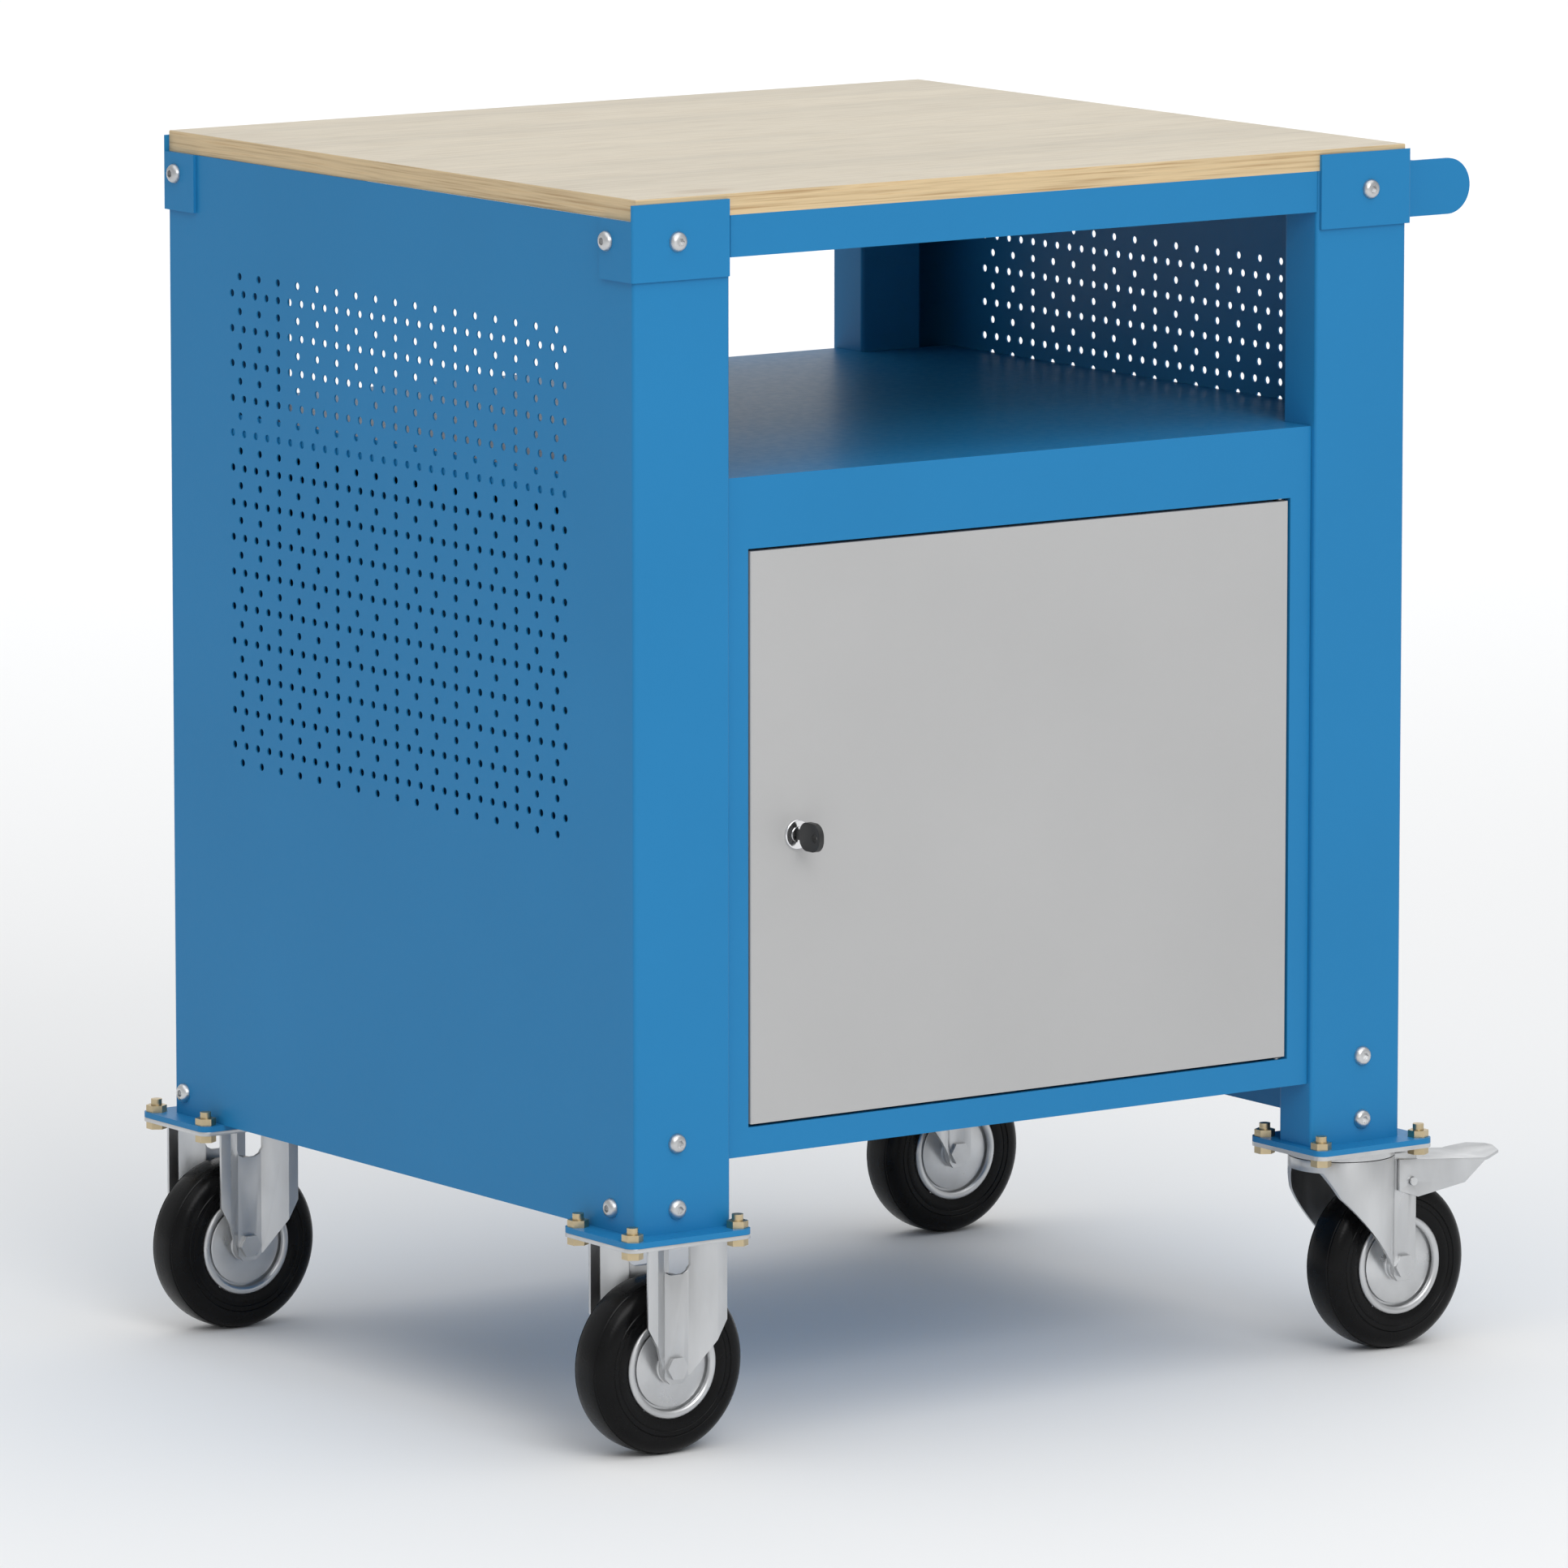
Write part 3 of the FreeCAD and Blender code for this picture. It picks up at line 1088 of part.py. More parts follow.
def make_wheel(corner, trail):
    """A pressed steel rim on a hub tube, hollow between its discs, and a solid rubber tyre."""
    x, y = CORNERS[corner]
    rim = "rim_diameter / 2"
    groove = "disc_groove_diameter / 2"
    hub = "hub_diameter / 2"
    bore = "(axle_diameter / 2 + axle_clearance)"
    end = "(fork_half_width - leg_skin - hub_gap)"
    sunk = "(disc_face - disc_groove_depth)"
    inside = f"({sunk} - disc_skin)"
    outer = [(end, bore), (end, hub), (sunk, hub), (sunk, groove),
             ("disc_face", f"{groove} + disc_skin / 2"), ("disc_face", rim)]
    hollow = [(inside, f"{rim} - rim_wall"), (inside, hub)]
    body = new_body(f"{corner}_rim")
    drawing = new_sketch(body, "YZ_Plane")
    for section in (outer, hollow):
        mirrored = [(f"-{along}", up) for along, up in reversed(section)]
        draw_outline(drawing, section + mirrored)
    revolve(body, drawing)
    place(body, x=f"{x} + {trail}", y=y, z=WHEEL_Z)

    tyre = new_body(f"{corner}_tyre")
    drawing = new_sketch(tyre, "YZ_Plane")
    draw_box(drawing, "-tyre_width / 2", "tyre_width / 2", rim, "wheel_diameter / 2")
    revolve(tyre, drawing)
    radius = size("wheel_diameter") / 2

    def shoulder(edge):
        return edge.Curve.TypeId == "Part::GeomCircle" and abs(edge.Curve.Radius - radius) < 0.01

    round_edges(tyre, "tyre_shoulder", shoulder)
    place(tyre, x=f"{x} + {trail}", y=y, z=WHEEL_Z)


def cut_ball_groove(body):
    """A ring groove for the swivel bearing's balls, about the castor's axis."""
    drawing = new_sketch(body, "XZ_Plane")
    draw_circle(drawing, "ball_circle / 2", f"{FORK_TOP} + race_gap / 2",
                "ball_diameter + 2 * ball_seat")
    feature = body.newObject("PartDesign::Groove", f"{body.Name}_groove")
    feature.Profile = drawing
    feature.ReferenceAxis = (drawing, ["V_Axis"])
    feature.Angle = 360
    before = body.Shape.Volume
    doc.recompute()
    if body.Shape.Volume > before - 1e-3:
        raise RuntimeError(f"{feature.Name} cuts nothing")


def make_swivel_plate(corner):
    """A swivel castor's top plate, with the fixed half of the ball race under it."""
    body = new_body(f"{corner}_top_plate")
    under = "(castor_height - castor_plate_skin)"
    draw_plate(body, under, "castor_plate_skin")
    drawing = new_sketch(body, "XY_Plane", f"{under} - race_height")
    draw_circle(drawing, "0", "0", "head_diameter")
    pad(body, drawing, "race_height + castor_plate_skin / 2")
    drawing = new_sketch(body, "XY_Plane", f"{under} - 2 * race_height")
    draw_circle(drawing, "0", "0", "kingpin_diameter")
    pocket(body, drawing, "4 * race_height")
    cut_ball_groove(body)
    x, y = CORNERS[corner]
    place(body, x=x, y=y)


def make_swivel_bearings():
    """The kingpins that hold the forks up, and the rings of balls that the forks turn on."""
    kingpins = []
    balls = []
    seat = f"({FORK_TOP} - deck_skin - race_gap / 2)"
    for corner in RIGHT_CORNERS:
        x, y = CORNERS[corner]
        name = f"{corner}_kingpin"
        head = solid_hexagon(f"{name}_head", "kingpin_head_width", "kingpin_head_height", "-z",
                             x, y, seat)
        shank = solid_cylinder(f"{name}_shank", "kingpin_diameter", f"castor_height - {seat}",
                               "z", x, y, seat)
        kingpins.append(fused(name, head, shank))
        count = int(size("ball_count"))
        for i in range(count):
            turn = 360 / count * i
            ball = doc.addObject("Part::Sphere", f"{corner}_ball_{i + 1}")
            ball.setExpression("Radius", bound("ball_diameter / 2"))
            across = f"{x} + ball_circle / 2 * cos({turn} deg)"
            along = f"{y} + ball_circle / 2 * sin({turn} deg)"
            for letter, rule in zip("xyz", (across, along, f"{FORK_TOP} + race_gap / 2")):
                ball.setExpression(f".Placement.Base.{letter}", bound(rule))
            balls.append(ball)
    group("kingpins", kingpins)
    group("castor_balls", balls)


def make_swivel_fork(corner):
    """A pressed swivel fork: a round head that runs on into two flat cheeks either side of the
    wheel, cut away in a long slope between the head and the axle."""
    body = new_body(f"{corner}_fork")
    low = f"({WHEEL_Z} - leg_reach)"
    height = f"{FORK_TOP} - {low}"
    for shrink, top, shape in (("0", "0", pad), ("leg_skin", "deck_skin", pocket)):
        drawing = new_sketch(body, "XY_Plane", low)
        draw_circle(drawing, "0", "0", f"head_diameter - 2 * {shrink}")
        shape(body, drawing, f"{height} - {top}")
        drawing = new_sketch(body, "XY_Plane", low)
        draw_box(drawing, "0", f"cheek_front + {shrink}", f"-(fork_half_width - {shrink})",
                 f"fork_half_width - {shrink}")
        shape(body, drawing, f"{height} - {top}")
    beyond = "head_diameter"
    drawing = new_sketch(body, "XZ_Plane", f"-{beyond}")
    draw_outline(drawing, [
        (f"-{beyond}", f"{low} - 1"), (f"-{beyond}", "throat_height"),
        ("-head_diameter / 2 + throat_step", "throat_height"),
        ("-head_diameter / 2 + 2.5 * throat_step", "throat_height - 3 * throat_step"),
        ("trail - leg_reach", f"{WHEEL_Z} - leg_reach / 3"), ("trail - leg_reach / 2", low),
        ("trail - leg_reach / 2", f"{low} - 1"),
    ])
    pocket(body, drawing, f"2 * {beyond}")
    drawing = new_sketch(body, "XZ_Plane", f"-{beyond}")
    draw_outline(drawing, [
        ("trail + leg_reach / 2", f"{low} - 1"), ("trail + leg_reach / 2", low),
        ("trail + leg_reach", f"{WHEEL_Z} - leg_reach / 3"), ("cheek_front", f"{WHEEL_Z} + leg_reach"),
        ("2 * cheek_front", f"{WHEEL_Z} + leg_reach"), ("2 * cheek_front", f"{low} - 1"),
    ])
    pocket(body, drawing, f"2 * {beyond}")
    drawing = new_sketch(body, "XZ_Plane", f"-{beyond}")
    draw_circle(drawing, "trail", WHEEL_Z, "axle_diameter + 2 * axle_clearance")
    draw_circle(drawing, "brake_pin_along", "brake_pin_height",
                "brake_pin_diameter + 2 * pin_clearance")
    pocket(body, drawing, f"2 * {beyond}")
    drawing = new_sketch(body, "XY_Plane", f"{FORK_TOP} - 2 * deck_skin")
    draw_circle(drawing, "0", "0", "kingpin_diameter + 2 * kingpin_clearance")
    pocket(body, drawing, "3 * deck_skin")
    cut_ball_groove(body)
    x, y = CORNERS[corner]
    place(body, x=x, y=y)


def make_brake_pin(corner):
    """The two short rivets, one in each cheek of a swivel fork, that its brake pedal turns on."""
    inside = "(fork_half_width - leg_skin)"
    head_at = "(fork_half_width + 2 * pedal_gap + pedal_skin)"
    name = f"{corner}_brake_pin"
    rivets = []
    for end, sign, axis in (("front", "-", "-y"), ("rear", "", "y")):
        shank = solid_cylinder(f"{name}_{end}_shank", "brake_pin_diameter",
                               f"{head_at} - {inside}", axis, "brake_pin_along",
                               f"{sign}{inside}", "brake_pin_height")
        head = solid_cylinder(f"{name}_{end}_head", "brake_pin_head", "brake_pin_head_height",
                              axis, "brake_pin_along", f"{sign}{head_at}", "brake_pin_height")
        rivets.append(fused(f"{name}_{end}", shank, head))
    pin = group(name, rivets)
    place(pin, *CORNERS[corner])


def make_brake_pedal(corner):
    """A brake pedal: a pressed channel over the fork's cheeks, a foot plate with a round end
    and, under it, a block that presses on the tyre."""
    body = new_body(f"{corner}_brake_pedal")
    outside = "(fork_half_width + pedal_gap + pedal_skin)"
    inside = "(fork_half_width + pedal_gap)"
    web_start = "(cheek_front + 2 * pedal_gap + 1)"
    drawing = new_sketch(body, "XZ_Plane", f"-{outside}")
    draw_outline(drawing, [
        ("pedal_start", "pedal_top"), ("pedal_foot_start", "pedal_foot_height"),
        ("pedal_reach", "pedal_tip_height"), ("pedal_reach", "pedal_tip_height - pedal_skin"),
        ("pedal_foot_start", "pedal_foot_height - pedal_skin"),
        ("pedal_foot_start - pedal_heel", "pedal_bottom"),
        ("cheek_front", "pedal_bottom - pedal_heel / 3"),
        ("pedal_start", "pedal_bottom"),
    ])
    pad(body, drawing, f"2 * {outside}")
    radius = "pedal_end_radius"
    for hand in (-1, 1):
        drawing = new_sketch(body, "XY_Plane", "pedal_bottom / 2")
        edge_y = f"{hand} * {outside}"
        bevel = "0.293 * pedal_end_radius"
        draw_outline(drawing, [
            (f"pedal_reach - {radius}", f"{edge_y} + {hand}"),
            (f"pedal_reach - {radius}", edge_y),
            (f"pedal_reach - {bevel}", f"{edge_y} - {hand} * {bevel}"),
            ("pedal_reach", f"{edge_y} - {hand} * {radius}"),
            ("pedal_reach + 1", f"{edge_y} - {hand} * {radius}"),
            ("pedal_reach + 1", f"{edge_y} + {hand}"),
        ])
        pocket(body, drawing, "pedal_top")
    drawing = new_sketch(body, "XZ_Plane", f"-{inside}")
    draw_outline(drawing, [
        ("pedal_start - 1", "2 * pedal_top"), (web_start, "2 * pedal_top"),
        (web_start, "pedal_top - pedal_web_drop"),
        ("pedal_foot_start", "pedal_foot_height - pedal_skin"),
        ("pedal_foot_start", "pedal_bottom / 2"), ("pedal_start - 1", "pedal_bottom / 2"),
    ])
    pocket(body, drawing, f"2 * {inside}")
    drawing = new_sketch(body, "XZ_Plane", "-tyre_width / 3")
    draw_box(drawing, "brake_block_along", "brake_block_along + brake_block_length",
             "brake_block_bottom", "pedal_top - pedal_web_drop - pedal_skin / 2")
    pad(body, drawing, "tyre_width * 2 / 3")
    drawing = new_sketch(body, "XZ_Plane", "-plate_depth")
    draw_circle(drawing, "brake_pin_along", "brake_pin_height",
                "brake_pin_diameter + 2 * axle_clearance")
    pocket(body, drawing, "2 * plate_depth")
    x, y = CORNERS[corner]
    place(body, x=x, y=y)


# ---------------------------------------------------------------- the whole trolley
def make_body_shell():
    """Worktop, side panels, brackets and rails."""
    make_worktop()
    make_side_panel("left_side_panel", "0", "0", 0, False)
    make_side_panel("right_side_panel", "body_width", "body_depth", 180, True)
    handle_drops = ("bracket_screw_drop", "handle_screw_drop")
    make_corner_bracket("front_left_bracket", "0", "0", 0, 1)
    make_corner_bracket("rear_left_bracket", "0", "body_depth", 180, -1, inset="screw_back_plain")
    make_corner_bracket("front_right_bracket", "body_width", "0", 0, -1, handle_drops)
    make_corner_bracket("rear_right_bracket", "body_width", "body_depth", 180, 1, handle_drops)
    make_top_rail("front_top_rail", 0, "0", "0")
    make_top_rail("rear_top_rail", 180, "body_width", "body_depth")


def make_cupboard():
    """Shelf, cupboard, door, hinge and lock."""
    make_shelf()
    make_cupboard_wall("cupboard_left_wall", 1)
    make_cupboard_wall("cupboard_right_wall", -1)
    make_cupboard_floor()
    make_cupboard_back()
    make_inner_shelf()
    make_shelf_clips()
    make_door_panel()
    make_door_stiffener()
    make_hinge_parts()
    make_lock_body()
    make_lock_nut()
    make_lock_plug()
    make_lock_cam()
    make_key()


def make_running_gear():
    """Castor mounting plates, the castors themselves and their bolts."""
    for corner in CORNERS:
        make_castor_mount(corner)
    make_castor_bolts()
    for corner in LEFT_CORNERS:
        make_fixed_fork(corner)
        make_wheel(corner, "0")
    make_fixed_axles()
    make_swivel_bearings()
    for corner in RIGHT_CORNERS:
        make_swivel_plate(corner)
        make_swivel_fork(corner)
        make_brake_pin(corner)
        make_brake_pedal(corner)
        make_wheel(corner, "trail")
        axle = make_axle(f"{corner}_axle", "trail", "0")
        axle.Label = f"{corner}_axle"
        place(axle, x=CORNERS[corner][0], y=CORNERS[corner][1])
        parts.append(axle)


make_body_shell()
make_cupboard()
make_handle_plate("handle_front_plate", "handle_set_back", 0)
make_handle_plate("handle_rear_plate", "body_depth - handle_set_back", 180)
make_handle_bar()
make_corner_screws()
make_lower_screws()
make_running_gear()
doc.recompute()

faults = [item.Name for item in doc.Objects if "Invalid" in item.State or "Error" in item.State]
for part in parts:
    if part.Shape.isNull() or not part.Shape.isValid() or not part.Shape.Solids:
        faults.append(part.Label)
if faults:
    raise RuntimeError(f"faulty: {faults}")
for part in parts:
    part.Shape.exportStep(f"parts/{part.Label}.step")
print(f"{len(parts)} pieces written")
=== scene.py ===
import json
import math

import bpy
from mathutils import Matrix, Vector

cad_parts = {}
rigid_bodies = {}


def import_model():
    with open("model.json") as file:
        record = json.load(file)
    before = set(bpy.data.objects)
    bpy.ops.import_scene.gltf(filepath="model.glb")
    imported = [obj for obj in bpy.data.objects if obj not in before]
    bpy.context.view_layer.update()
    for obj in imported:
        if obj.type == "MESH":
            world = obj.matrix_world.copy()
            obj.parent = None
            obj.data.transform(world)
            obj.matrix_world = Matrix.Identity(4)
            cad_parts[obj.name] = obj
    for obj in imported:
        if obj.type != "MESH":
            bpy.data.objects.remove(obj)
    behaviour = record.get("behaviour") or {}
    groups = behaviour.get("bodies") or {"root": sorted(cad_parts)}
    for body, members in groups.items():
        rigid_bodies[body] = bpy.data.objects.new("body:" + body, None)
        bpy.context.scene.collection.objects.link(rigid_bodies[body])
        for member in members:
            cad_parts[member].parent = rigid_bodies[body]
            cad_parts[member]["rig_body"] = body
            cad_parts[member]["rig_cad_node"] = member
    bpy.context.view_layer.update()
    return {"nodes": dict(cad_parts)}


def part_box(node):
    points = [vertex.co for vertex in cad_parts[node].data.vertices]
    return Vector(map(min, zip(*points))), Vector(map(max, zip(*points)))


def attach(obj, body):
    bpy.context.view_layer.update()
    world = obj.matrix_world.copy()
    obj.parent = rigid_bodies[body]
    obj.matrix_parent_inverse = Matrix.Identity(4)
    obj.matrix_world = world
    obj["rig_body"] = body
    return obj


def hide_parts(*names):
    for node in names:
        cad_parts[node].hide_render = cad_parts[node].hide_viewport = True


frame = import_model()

nodes = frame["nodes"]
scene = bpy.context.scene

# ------------------------------------------------------------------ studio
# A pale floor that runs far behind the trolley, one broad soft lamp high in front of it, one that
# whitens the floor behind, a very soft sun overhead and an even sky.
FLOOR_SIZE = 60
FLOOR_MIDDLE = (0, 12, 0)
FLOOR_WHITE = (0.84, 0.84, 0.84, 1)
SKY_WHITE = (0.97, 0.985, 1.0, 1)
SKY_STRENGTH = 0.57
SUN_STRENGTH = 1.0
SUN_WIDTH = math.radians(80)
SUN_TILT = (math.radians(12), math.radians(-4), 0)
scene.view_settings.view_transform = "Standard"
scene.view_settings.look = "None"

bpy.ops.object.select_all(action="DESELECT")
bpy.ops.mesh.primitive_plane_add(size=FLOOR_SIZE, location=FLOOR_MIDDLE)
floor = bpy.context.object
floor.name = "studio_floor"
floor_finish = bpy.data.materials.new("floor_finish")
floor_finish.use_nodes = True
floor_shader = floor_finish.node_tree.nodes["Principled BSDF"]
floor_shader.inputs["Base Color"].default_value = FLOOR_WHITE
floor_shader.inputs["Roughness"].default_value = 0.9
floor_shader.inputs["Specular IOR Level"].default_value = 0.1
floor.data.materials.append(floor_finish)

sky = bpy.data.worlds.new("studio_sky")
scene.world = sky
sky.use_nodes = True
sky.node_tree.nodes["Background"].inputs["Color"].default_value = SKY_WHITE
sky.node_tree.nodes["Background"].inputs["Strength"].default_value = SKY_STRENGTH


def add_softbox(name, place, aim, width, height, power):
    """A rectangular area lamp at a place, turned to face a point."""
    lamp = bpy.data.lights.new(name, "AREA")
    lamp.shape = "RECTANGLE"
    lamp.size = width
    lamp.size_y = height
    lamp.energy = power
    holder = bpy.data.objects.new(name, lamp)
    scene.collection.objects.link(holder)
    holder.location = place
    holder.rotation_euler = (Vector(aim) - Vector(place)).to_track_quat("-Z", "Y").to_euler()


add_softbox("front_softbox", (-0.9, -3.6, 2.6), (0, 0, 0.5), 2.4, 1.8, 58)
add_softbox("backdrop_softbox", (4.6, 6.6, 3.4), (4.6, 6.6, 0), 9.0, 9.0, 170)
overcast = bpy.data.lights.new("overcast", "SUN")
overcast.energy = SUN_STRENGTH
overcast.angle = SUN_WIDTH
overcast_holder = bpy.data.objects.new("overcast", overcast)
scene.collection.objects.link(overcast_holder)
overcast_holder.rotation_euler = SUN_TILT

CAMERA_PLACE = (-4.9955, -6.9993, 1.7326)
CAMERA_LENS = 277.33
CAMERA_YAW = math.radians(35.32)
CAMERA_PITCH = math.radians(8.79)
camera = bpy.data.objects.new("camera", bpy.data.cameras.new("camera"))
scene.collection.objects.link(camera)
camera.location = CAMERA_PLACE
camera.rotation_euler = (math.pi / 2 - CAMERA_PITCH, 0, -CAMERA_YAW)
camera.data.lens = CAMERA_LENS
camera.data.sensor_width = 36
camera.data.clip_end = 100
scene.camera = camera

# ------------------------------------------------------------------ painted steel body
# Side panels, brackets, rails, shelf, cupboard, handle and castor mounts are folded or flat sheet
# steel, powder coated in one blue. The coat has a fine skin, slight shade changes and a soft gloss.
BLUE = (0.017, 0.200, 0.440)
BODY_SHEETS = [
    "left_side_panel", "right_side_panel", "front_left_bracket", "rear_left_bracket",
    "front_right_bracket", "rear_right_bracket", "front_top_rail", "rear_top_rail", "shelf",
    "cupboard_left_wall", "cupboard_right_wall", "cupboard_floor", "cupboard_back",
    "inner_shelf", "handle_front_plate", "handle_rear_plate", "handle_bar",
    "front_left_castor_mount", "rear_left_castor_mount", "front_right_castor_mount",
    "rear_right_castor_mount",
]


def add_node(material, kind, **values):
    """A shader node with some of its inputs or settings given by name."""
    node = material.node_tree.nodes.new(kind)
    for name, value in values.items():
        title = name.replace("_", " ")
        socket = next((s for s in node.inputs if s.name == title), None)
        if socket is not None:
            socket.default_value = value
        else:
            setattr(node, name, value)
    return node


def join(material, source, output, target, socket):
    """A link from one node's output to another node's input."""
    material.node_tree.links.new(source.outputs[output], target.inputs[socket])


def new_finish(name, colour, roughness, metallic=0.0):
    """A material whose plain numbers sit on its shader, and the shader and position nodes."""
    material = bpy.data.materials.new(name)
    material.use_nodes = True
    shader = material.node_tree.nodes["Principled BSDF"]
    shader.inputs["Base Color"].default_value = (*colour, 1)
    shader.inputs["Roughness"].default_value = roughness
    shader.inputs["Metallic"].default_value = metallic
    place = add_node(material, "ShaderNodeTexCoord")
    return material, shader, place


def ramp(material, stops):
    """A colour ramp with the given positions and colours."""
    node = add_node(material, "ShaderNodeValToRGB")
    elements = node.color_ramp.elements
    while len(elements) < len(stops):
        elements.new(0.5)
    for element, (position, colour) in zip(elements, stops):
        element.position = position
        element.color = (*colour, 1)
    return node


def vary(material, place, shader, scale, stretch, socket, stops):
    """Drive a colour or roughness socket from soft noise over the piece."""
    mapping = add_node(material, "ShaderNodeMapping", Scale=stretch)
    noise = add_node(material, "ShaderNodeTexNoise", Scale=scale, Detail=4.0)
    shades = ramp(material, stops)
    join(material, place, "Object", mapping, "Vector")
    join(material, mapping, "Vector", noise, "Vector")
    join(material, noise, "Fac", shades, "Fac")
    join(material, shades, "Color", shader, socket)


def grain_bump(material, place, shader, scale, height, stretch=(1, 1, 1)):
    """A fine relief on the surface; height is in metres."""
    mapping = add_node(material, "ShaderNodeMapping", Scale=stretch)
    noise = add_node(material, "ShaderNodeTexNoise", Scale=scale, Detail=3.0)
    bump = add_node(material, "ShaderNodeBump", Strength=1.0, Distance=height)
    join(material, place, "Object", mapping, "Vector")
    join(material, mapping, "Vector", noise, "Vector")
    join(material, noise, "Fac", bump, "Height")
    join(material, bump, "Normal", shader, "Normal")


def shade(colour, factor):
    """The same colour, lighter or darker."""
    return tuple(min(1.0, channel * factor) for channel in colour)


def grey(value):
    """A neutral colour."""
    return (value, value, value)


def powder_coat(name, colour):
    """A coat of polyester powder over sheet steel."""
    material, shader, place = new_finish(name, colour, 0.38)
    shader.inputs["Specular IOR Level"].default_value = 0.16
    shader.inputs["Coat Weight"].default_value = 0.05
    shader.inputs["Coat Roughness"].default_value = 0.22
    vary(material, place, shader, 5.0, (1, 1, 1), "Base Color",
         [(0.30, shade(colour, 0.975)), (0.70, shade(colour, 1.025))])
    vary(material, place, shader, 160.0, (1, 1, 1), "Roughness",
         [(0.35, grey(0.36)), (0.70, grey(0.42))])
    grain_bump(material, place, shader, 900.0, 0.00004)
    return material


def dress(names, material):
    """Give CAD nodes one material."""
    for name in names:
        piece = nodes[name]
        piece.data.materials.clear()
        piece.data.materials.append(material)


blue_coat = powder_coat("blue_powder_coat", BLUE)
dress(BODY_SHEETS, blue_coat)

# ------------------------------------------------------------------ worktop
# A 15 mm birch plywood board, sanded and clear lacquered. Its face veneer runs along the front,
# with a few small knots, and its edges show the crossed plies.
VENEER = (0.600, 0.520, 0.385)
PLY_LIGHT = (0.600, 0.450, 0.255)
PLY_DARK = (0.430, 0.280, 0.130)

plywood, wood_shader, wood_place = new_finish("lacquered_birch_plywood", VENEER, 0.42)
wood_shader.inputs["Coat Weight"].default_value = 0.12
wood_shader.inputs["Coat Roughness"].default_value = 0.3


def patterned(kind, output, mapping, stops, **values):
    """A texture of the plywood laid out by a mapping, and the ramp that colours it."""
    texture = add_node(plywood, kind, **values)
    shades = ramp(plywood, stops)
    join(plywood, mapping, "Vector", texture, "Vector")
    join(plywood, texture, output, shades, "Fac")
    return shades


def laid_out(**values):
    """A mapping of the board's own position."""
    mapping = add_node(plywood, "ShaderNodeMapping", **values)
    join(plywood, wood_place, "Object", mapping, "Vector")
    return mapping


def blended(first, output, second, second_output, blend="MIX"):
    """A mix of two colours; its factor is set or joined afterwards."""
    mix = add_node(plywood, "ShaderNodeMix", data_type="RGBA", blend_type=blend)
    join(plywood, first, output, mix, MIX_A)
    join(plywood, second, second_output, mix, MIX_B)
    return mix


# The sockets of a Mix node that carry colours, and how level a face of the board has to be.
MIX_A, MIX_B, MIX_RESULT = 6, 7, 2
LEVEL_FACE = 0.75

along_grain = laid_out(Scale=(0.55, 9.0, 9.0))
figure = patterned("ShaderNodeTexNoise", "Fac", along_grain,
                   [(0.25, shade(VENEER, 0.86)), (0.45, shade(VENEER, 0.97)),
                    (0.60, shade(VENEER, 1.03)), (0.80, shade(VENEER, 1.10))],
                   Scale=2.6, Detail=6.0, Distortion=0.7)
pores = patterned("ShaderNodeTexNoise", "Fac", along_grain,
                  [(0.40, (0.80, 0.76, 0.70)), (0.52, (1, 1, 1))], Scale=34.0, Detail=4.0)
veneer = blended(figure, "Color", pores, "Color", "MULTIPLY")
veneer.inputs["Factor"].default_value = 0.55

knots = patterned("ShaderNodeTexVoronoi", "Distance",
                  laid_out(Scale=(2.1, 5.2, 0.0), Location=(0.37, 0.21, 0)),
                  [(0.00, (0.50, 0.36, 0.22)), (0.05, (0.72, 0.60, 0.46)), (0.14, (1, 1, 1))],
                  Scale=1.7)
knotty_veneer = blended(veneer, MIX_RESULT, knots, "Color", "MULTIPLY")
knotty_veneer.inputs["Factor"].default_value = 0.75

plies = patterned("ShaderNodeTexNoise", "Fac", laid_out(Scale=(6.0, 6.0, 330.0)),
                  [(0.30, PLY_DARK), (0.48, PLY_LIGHT), (0.62, shade(PLY_LIGHT, 1.12)),
                   (0.78, shade(PLY_DARK, 1.15))],
                  Scale=2.0, Detail=5.0, Distortion=0.25)

facing = add_node(plywood, "ShaderNodeNewGeometry")
facing_parts = add_node(plywood, "ShaderNodeSeparateXYZ")
flatness = add_node(plywood, "ShaderNodeMath", operation="ABSOLUTE")
on_face = add_node(plywood, "ShaderNodeMath", operation="GREATER_THAN")
on_face.inputs[1].default_value = LEVEL_FACE
join(plywood, facing, "Normal", facing_parts, "Vector")
join(plywood, facing_parts, "Z", flatness, 0)
join(plywood, flatness, "Value", on_face, 0)
board = blended(plies, "Color", knotty_veneer, MIX_RESULT)
join(plywood, on_face, "Value", board, "Factor")
join(plywood, board, MIX_RESULT, wood_shader, "Base Color")
grain_bump(plywood, wood_place, wood_shader, 90.0, 0.0002, (0.12, 2.4, 2.4))
dress(["worktop"], plywood)

# ------------------------------------------------------------------ cupboard door
# A folded steel pan in light grey powder coat, with a hat section welded behind its skin. It
# turns on two steel pins in nylon bushes.
DOOR_GREY = (0.448, 0.446, 0.444)
grey_coat = powder_coat("grey_powder_coat", DOOR_GREY)
dress(["door_panel", "door_stiffener"], grey_coat)

# ------------------------------------------------------------------ bright zinc hardware
# Screws, pins, axles, the cam and the castors' top plates are steel with a bright zinc finish: a
# cool, slightly cloudy metal with a faint rolling grain.
ZINC = (0.63, 0.635, 0.64)


def zinc_finish(name, colour, stretch):
    """Zinc-plated steel."""
    material, shader, place = new_finish(name, colour, 0.34, 1.0)
    vary(material, place, shader, 30.0, stretch, "Base Color",
         [(0.30, shade(colour, 0.86)), (0.70, shade(colour, 1.08))])
    vary(material, place, shader, 55.0, stretch, "Roughness",
         [(0.30, grey(0.26)), (0.72, grey(0.46))])
    grain_bump(material, place, shader, 240.0, 0.00005, stretch)
    return material


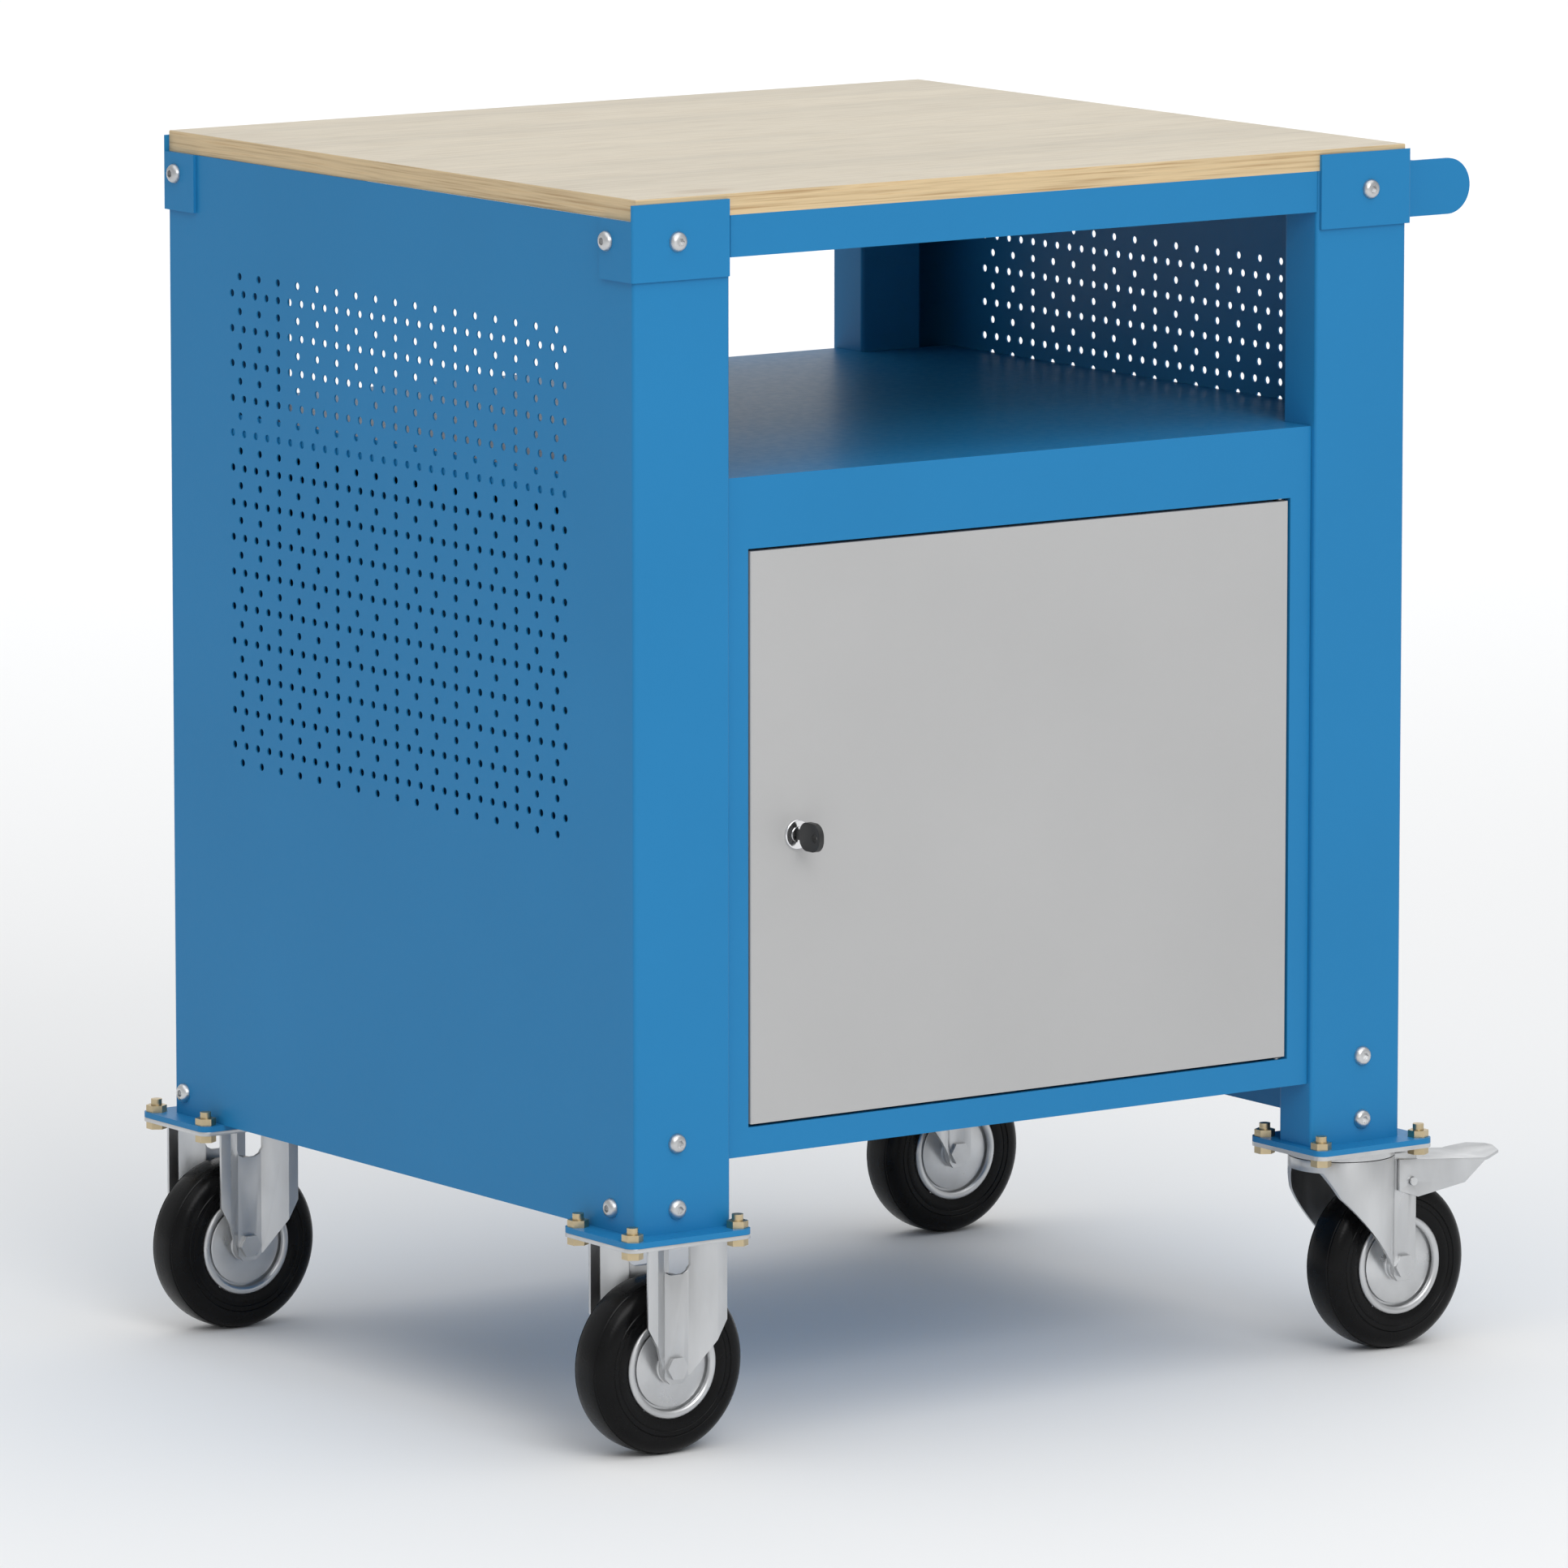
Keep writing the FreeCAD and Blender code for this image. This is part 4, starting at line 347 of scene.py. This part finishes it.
bright_zinc = zinc_finish("bright_zinc", ZINC, (1, 1, 1))
dress([
    "corner_screws", "lower_screws", "hinge_pins", "shelf_clips",
    "lock_cam", "fixed_axles", "kingpins", "castor_balls", "front_right_top_plate",
    "rear_right_top_plate", "front_right_axle", "rear_right_axle", "front_right_brake_pin",
    "rear_right_brake_pin",
], bright_zinc)

# The castors' bolts and nuts have the warmer tone of yellow-passivated zinc.
yellow_zinc = zinc_finish("yellow_zinc", (0.60, 0.49, 0.31), (1, 1, 1))
dress(["castor_bolts", "castor_nuts"], yellow_zinc)

# ------------------------------------------------------------------ lock and key
# A chromed cam lock clamped through the door, and its key, whose oval bow is moulded in black
# plastic. The hinge bushes are black nylon.
chrome, chrome_shader, chrome_place = new_finish("polished_chrome", (0.80, 0.80, 0.81), 0.12, 1.0)
vary(chrome, chrome_place, chrome_shader, 220.0, (1, 1, 1), "Roughness",
     [(0.35, grey(0.08)), (0.70, grey(0.20))])
dress(["lock_body", "lock_nut", "lock_plug"], chrome)

black_plastic, plastic_shader, plastic_place = new_finish("black_plastic", grey(0.018), 0.42)
vary(black_plastic, plastic_place, plastic_shader, 40.0, (1, 1, 1), "Base Color",
     [(0.3, grey(0.014)), (0.7, grey(0.026))])
grain_bump(black_plastic, plastic_place, plastic_shader, 900.0, 0.00006)
dress(["hinge_bushes"], black_plastic)
dress(["key"], black_plastic)

# ------------------------------------------------------------------ tyres
# Solid black rubber, moulded with a smooth round tread, a fine groove at each shoulder and ring
# ridges down the sidewalls. Each is pressed on its rim.
CASTORS = ["front_left", "rear_left", "front_right", "rear_right"]


WELD = 0.000002
TURN_STEPS = 96
TURNED_SMOOTH = math.radians(35)


def turned(name, centre, section):
    """A ring made by turning a closed section of (along Y, radius) points about a wheel's axis."""
    bpy.ops.object.select_all(action="DESELECT")
    bpy.ops.mesh.primitive_plane_add(size=0.001, location=(0, 0, 0))
    piece = bpy.context.object
    piece.name = name
    start = Vector((0, section[0][0], section[0][1])) + centre
    bpy.ops.object.mode_set(mode="EDIT")
    bpy.ops.mesh.select_all(action="SELECT")
    bpy.ops.mesh.merge(type="CENTER")
    bpy.ops.transform.translate(value=start)
    for before, after in zip(section, section[1:] + section[:1]):
        step = (0, after[0] - before[0], after[1] - before[1])
        bpy.ops.mesh.extrude_region_move(TRANSFORM_OT_translate={"value": step})
    bpy.ops.mesh.select_all(action="SELECT")
    bpy.ops.mesh.remove_doubles(threshold=WELD)
    bpy.ops.mesh.select_all(action="SELECT")
    bpy.ops.mesh.spin(steps=TURN_STEPS, angle=2 * math.pi, center=centre, axis=(0, 1, 0))
    bpy.ops.mesh.select_all(action="SELECT")
    bpy.ops.mesh.remove_doubles(threshold=WELD)
    bpy.ops.mesh.normals_make_consistent(inside=False)
    bpy.ops.object.mode_set(mode="OBJECT")
    bpy.ops.object.shade_smooth_by_angle(angle=TURNED_SMOOTH)
    return piece


def wheel_centre(corner):
    """The middle of a wheel, from its tyre in the frame."""
    low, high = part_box(f"{corner}_tyre")
    return (low + high) / 2


RUBBER = (0.0036, 0.0036, 0.0038)
rubber, rubber_shader, rubber_place = new_finish("tyre_rubber", RUBBER, 0.28)
rubber_shader.inputs["Specular IOR Level"].default_value = 0.14
vary(rubber, rubber_place, rubber_shader, 24.0, (1, 1, 1), "Base Color",
     [(0.30, shade(RUBBER, 0.75)), (0.72, shade(RUBBER, 1.5))])
vary(rubber, rubber_place, rubber_shader, 60.0, (1, 1, 1), "Roughness",
     [(0.30, grey(0.22)), (0.72, grey(0.34))])
grain_bump(rubber, rubber_place, rubber_shader, 520.0, 0.00008)

TYRE_SECTION = [
    (0.0, 62.5), (5.0, 62.4), (9.0, 62.0), (10.6, 61.6), (11.0, 60.9), (11.8, 60.7), (12.4, 61.0),
    (14.4, 59.6), (16.2, 57.6), (17.5, 55.0), (18.2, 52.0), (18.4, 49.4), (17.9, 48.9),
    (18.3, 48.3), (18.2, 45.4), (17.7, 44.9), (18.0, 44.2), (17.4, 40.0), (16.6, 36.8),
]
half_section = [(along / 1000, up / 1000) for along, up in TYRE_SECTION]
whole_section = half_section + [(-along, up) for along, up in reversed(half_section[1:])]
for corner in CASTORS:
    tyre = turned(f"{corner}_rubber_tyre", wheel_centre(corner), whole_section)
    tyre.data.materials.append(rubber)
    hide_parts(f"{corner}_tyre")
    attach(tyre, f"{corner}_wheel")

# ------------------------------------------------------------------ rims
# Two pressed steel discs welded to a hub tube: a rolled bright rim, a narrow groove and a flat
# disc that runs in to the hub.
turned_zinc = zinc_finish("turned_zinc", ZINC, (1, 1, 1))
RIM_HALF = [
    (19.7, 5.3), (19.7, 10.4), (19.2, 11.0), (16.6, 11.2), (15.9, 12.0), (15.8, 28.0),
    (15.4, 28.7), (12.9, 28.9), (12.8, 30.3), (15.4, 30.6), (17.2, 31.0), (18.3, 31.9),
    (18.8, 33.6), (18.6, 35.2), (17.8, 36.2), (16.8, 36.5), (16.2, 36.2), (15.6, 34.4),
    (12.4, 33.2), (11.8, 31.8), (11.7, 28.0), (13.0, 26.6), (13.6, 25.4), (13.6, 12.4),
    (12.6, 11.0), (0.0, 11.0),
]
rim_half = [(along / 1000, up / 1000) for along, up in RIM_HALF]
rim_half_back = [(-along, up) for along, up in reversed(rim_half[:-1])]
for corner in CASTORS:
    rim = turned(f"{corner}_pressed_rim", wheel_centre(corner), rim_half + rim_half_back)
    rim.data.materials.append(turned_zinc)
    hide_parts(f"{corner}_rim")
    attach(rim, f"{corner}_wheel")

# ------------------------------------------------------------------ castor forks
# Forks and brake pedals are pressed from sheet and zinc plated. The presses leave every edge and
# fold slightly rounded.
pressed_zinc = zinc_finish("pressed_zinc", ZINC, (1, 1, 0.35))
FORK_EDGE = 0.0008
PEDAL_EDGE = 0.0007
MERGE_DISTANCE = 0.000005
FLAT_ANGLE = math.radians(1.0)
FOLD_ANGLE = math.radians(32)
PRESSED_SMOOTH = math.radians(30)


def pressed_copy(node, name, body, width):
    """A copy of a node with its triangles merged to faces and its edges rounded."""
    bpy.ops.object.select_all(action="DESELECT")
    piece = nodes[node].copy()
    piece.data = nodes[node].data.copy()
    piece.name = name
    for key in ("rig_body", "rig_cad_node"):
        if key in piece:
            del piece[key]
    piece.parent = None
    scene.collection.objects.link(piece)
    bpy.context.view_layer.objects.active = piece
    piece.select_set(True)
    bpy.ops.object.mode_set(mode="EDIT")
    bpy.ops.mesh.select_all(action="SELECT")
    bpy.ops.mesh.remove_doubles(threshold=MERGE_DISTANCE)
    bpy.ops.mesh.dissolve_limited(angle_limit=FLAT_ANGLE)
    bpy.ops.object.mode_set(mode="OBJECT")
    bevel = piece.modifiers.new("rounded_edges", "BEVEL")
    bevel.width = width
    bevel.segments = 2
    bevel.limit_method = "ANGLE"
    bevel.angle_limit = FOLD_ANGLE
    bpy.ops.object.modifier_apply(modifier="rounded_edges")
    bpy.ops.object.shade_smooth_by_angle(angle=PRESSED_SMOOTH)
    piece.data.materials.clear()
    piece.data.materials.append(pressed_zinc)
    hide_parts(node)
    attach(piece, body)


for corner in ("front_left", "rear_left"):
    pressed_copy(f"{corner}_fork", f"{corner}_fixed_fork", "frame", FORK_EDGE)
for corner in ("front_right", "rear_right"):
    pressed_copy(f"{corner}_fork", f"{corner}_swivel_fork", f"{corner}_swivel", FORK_EDGE)
    pressed_copy(f"{corner}_brake_pedal", f"{corner}_pedal", f"{corner}_brake", PEDAL_EDGE)
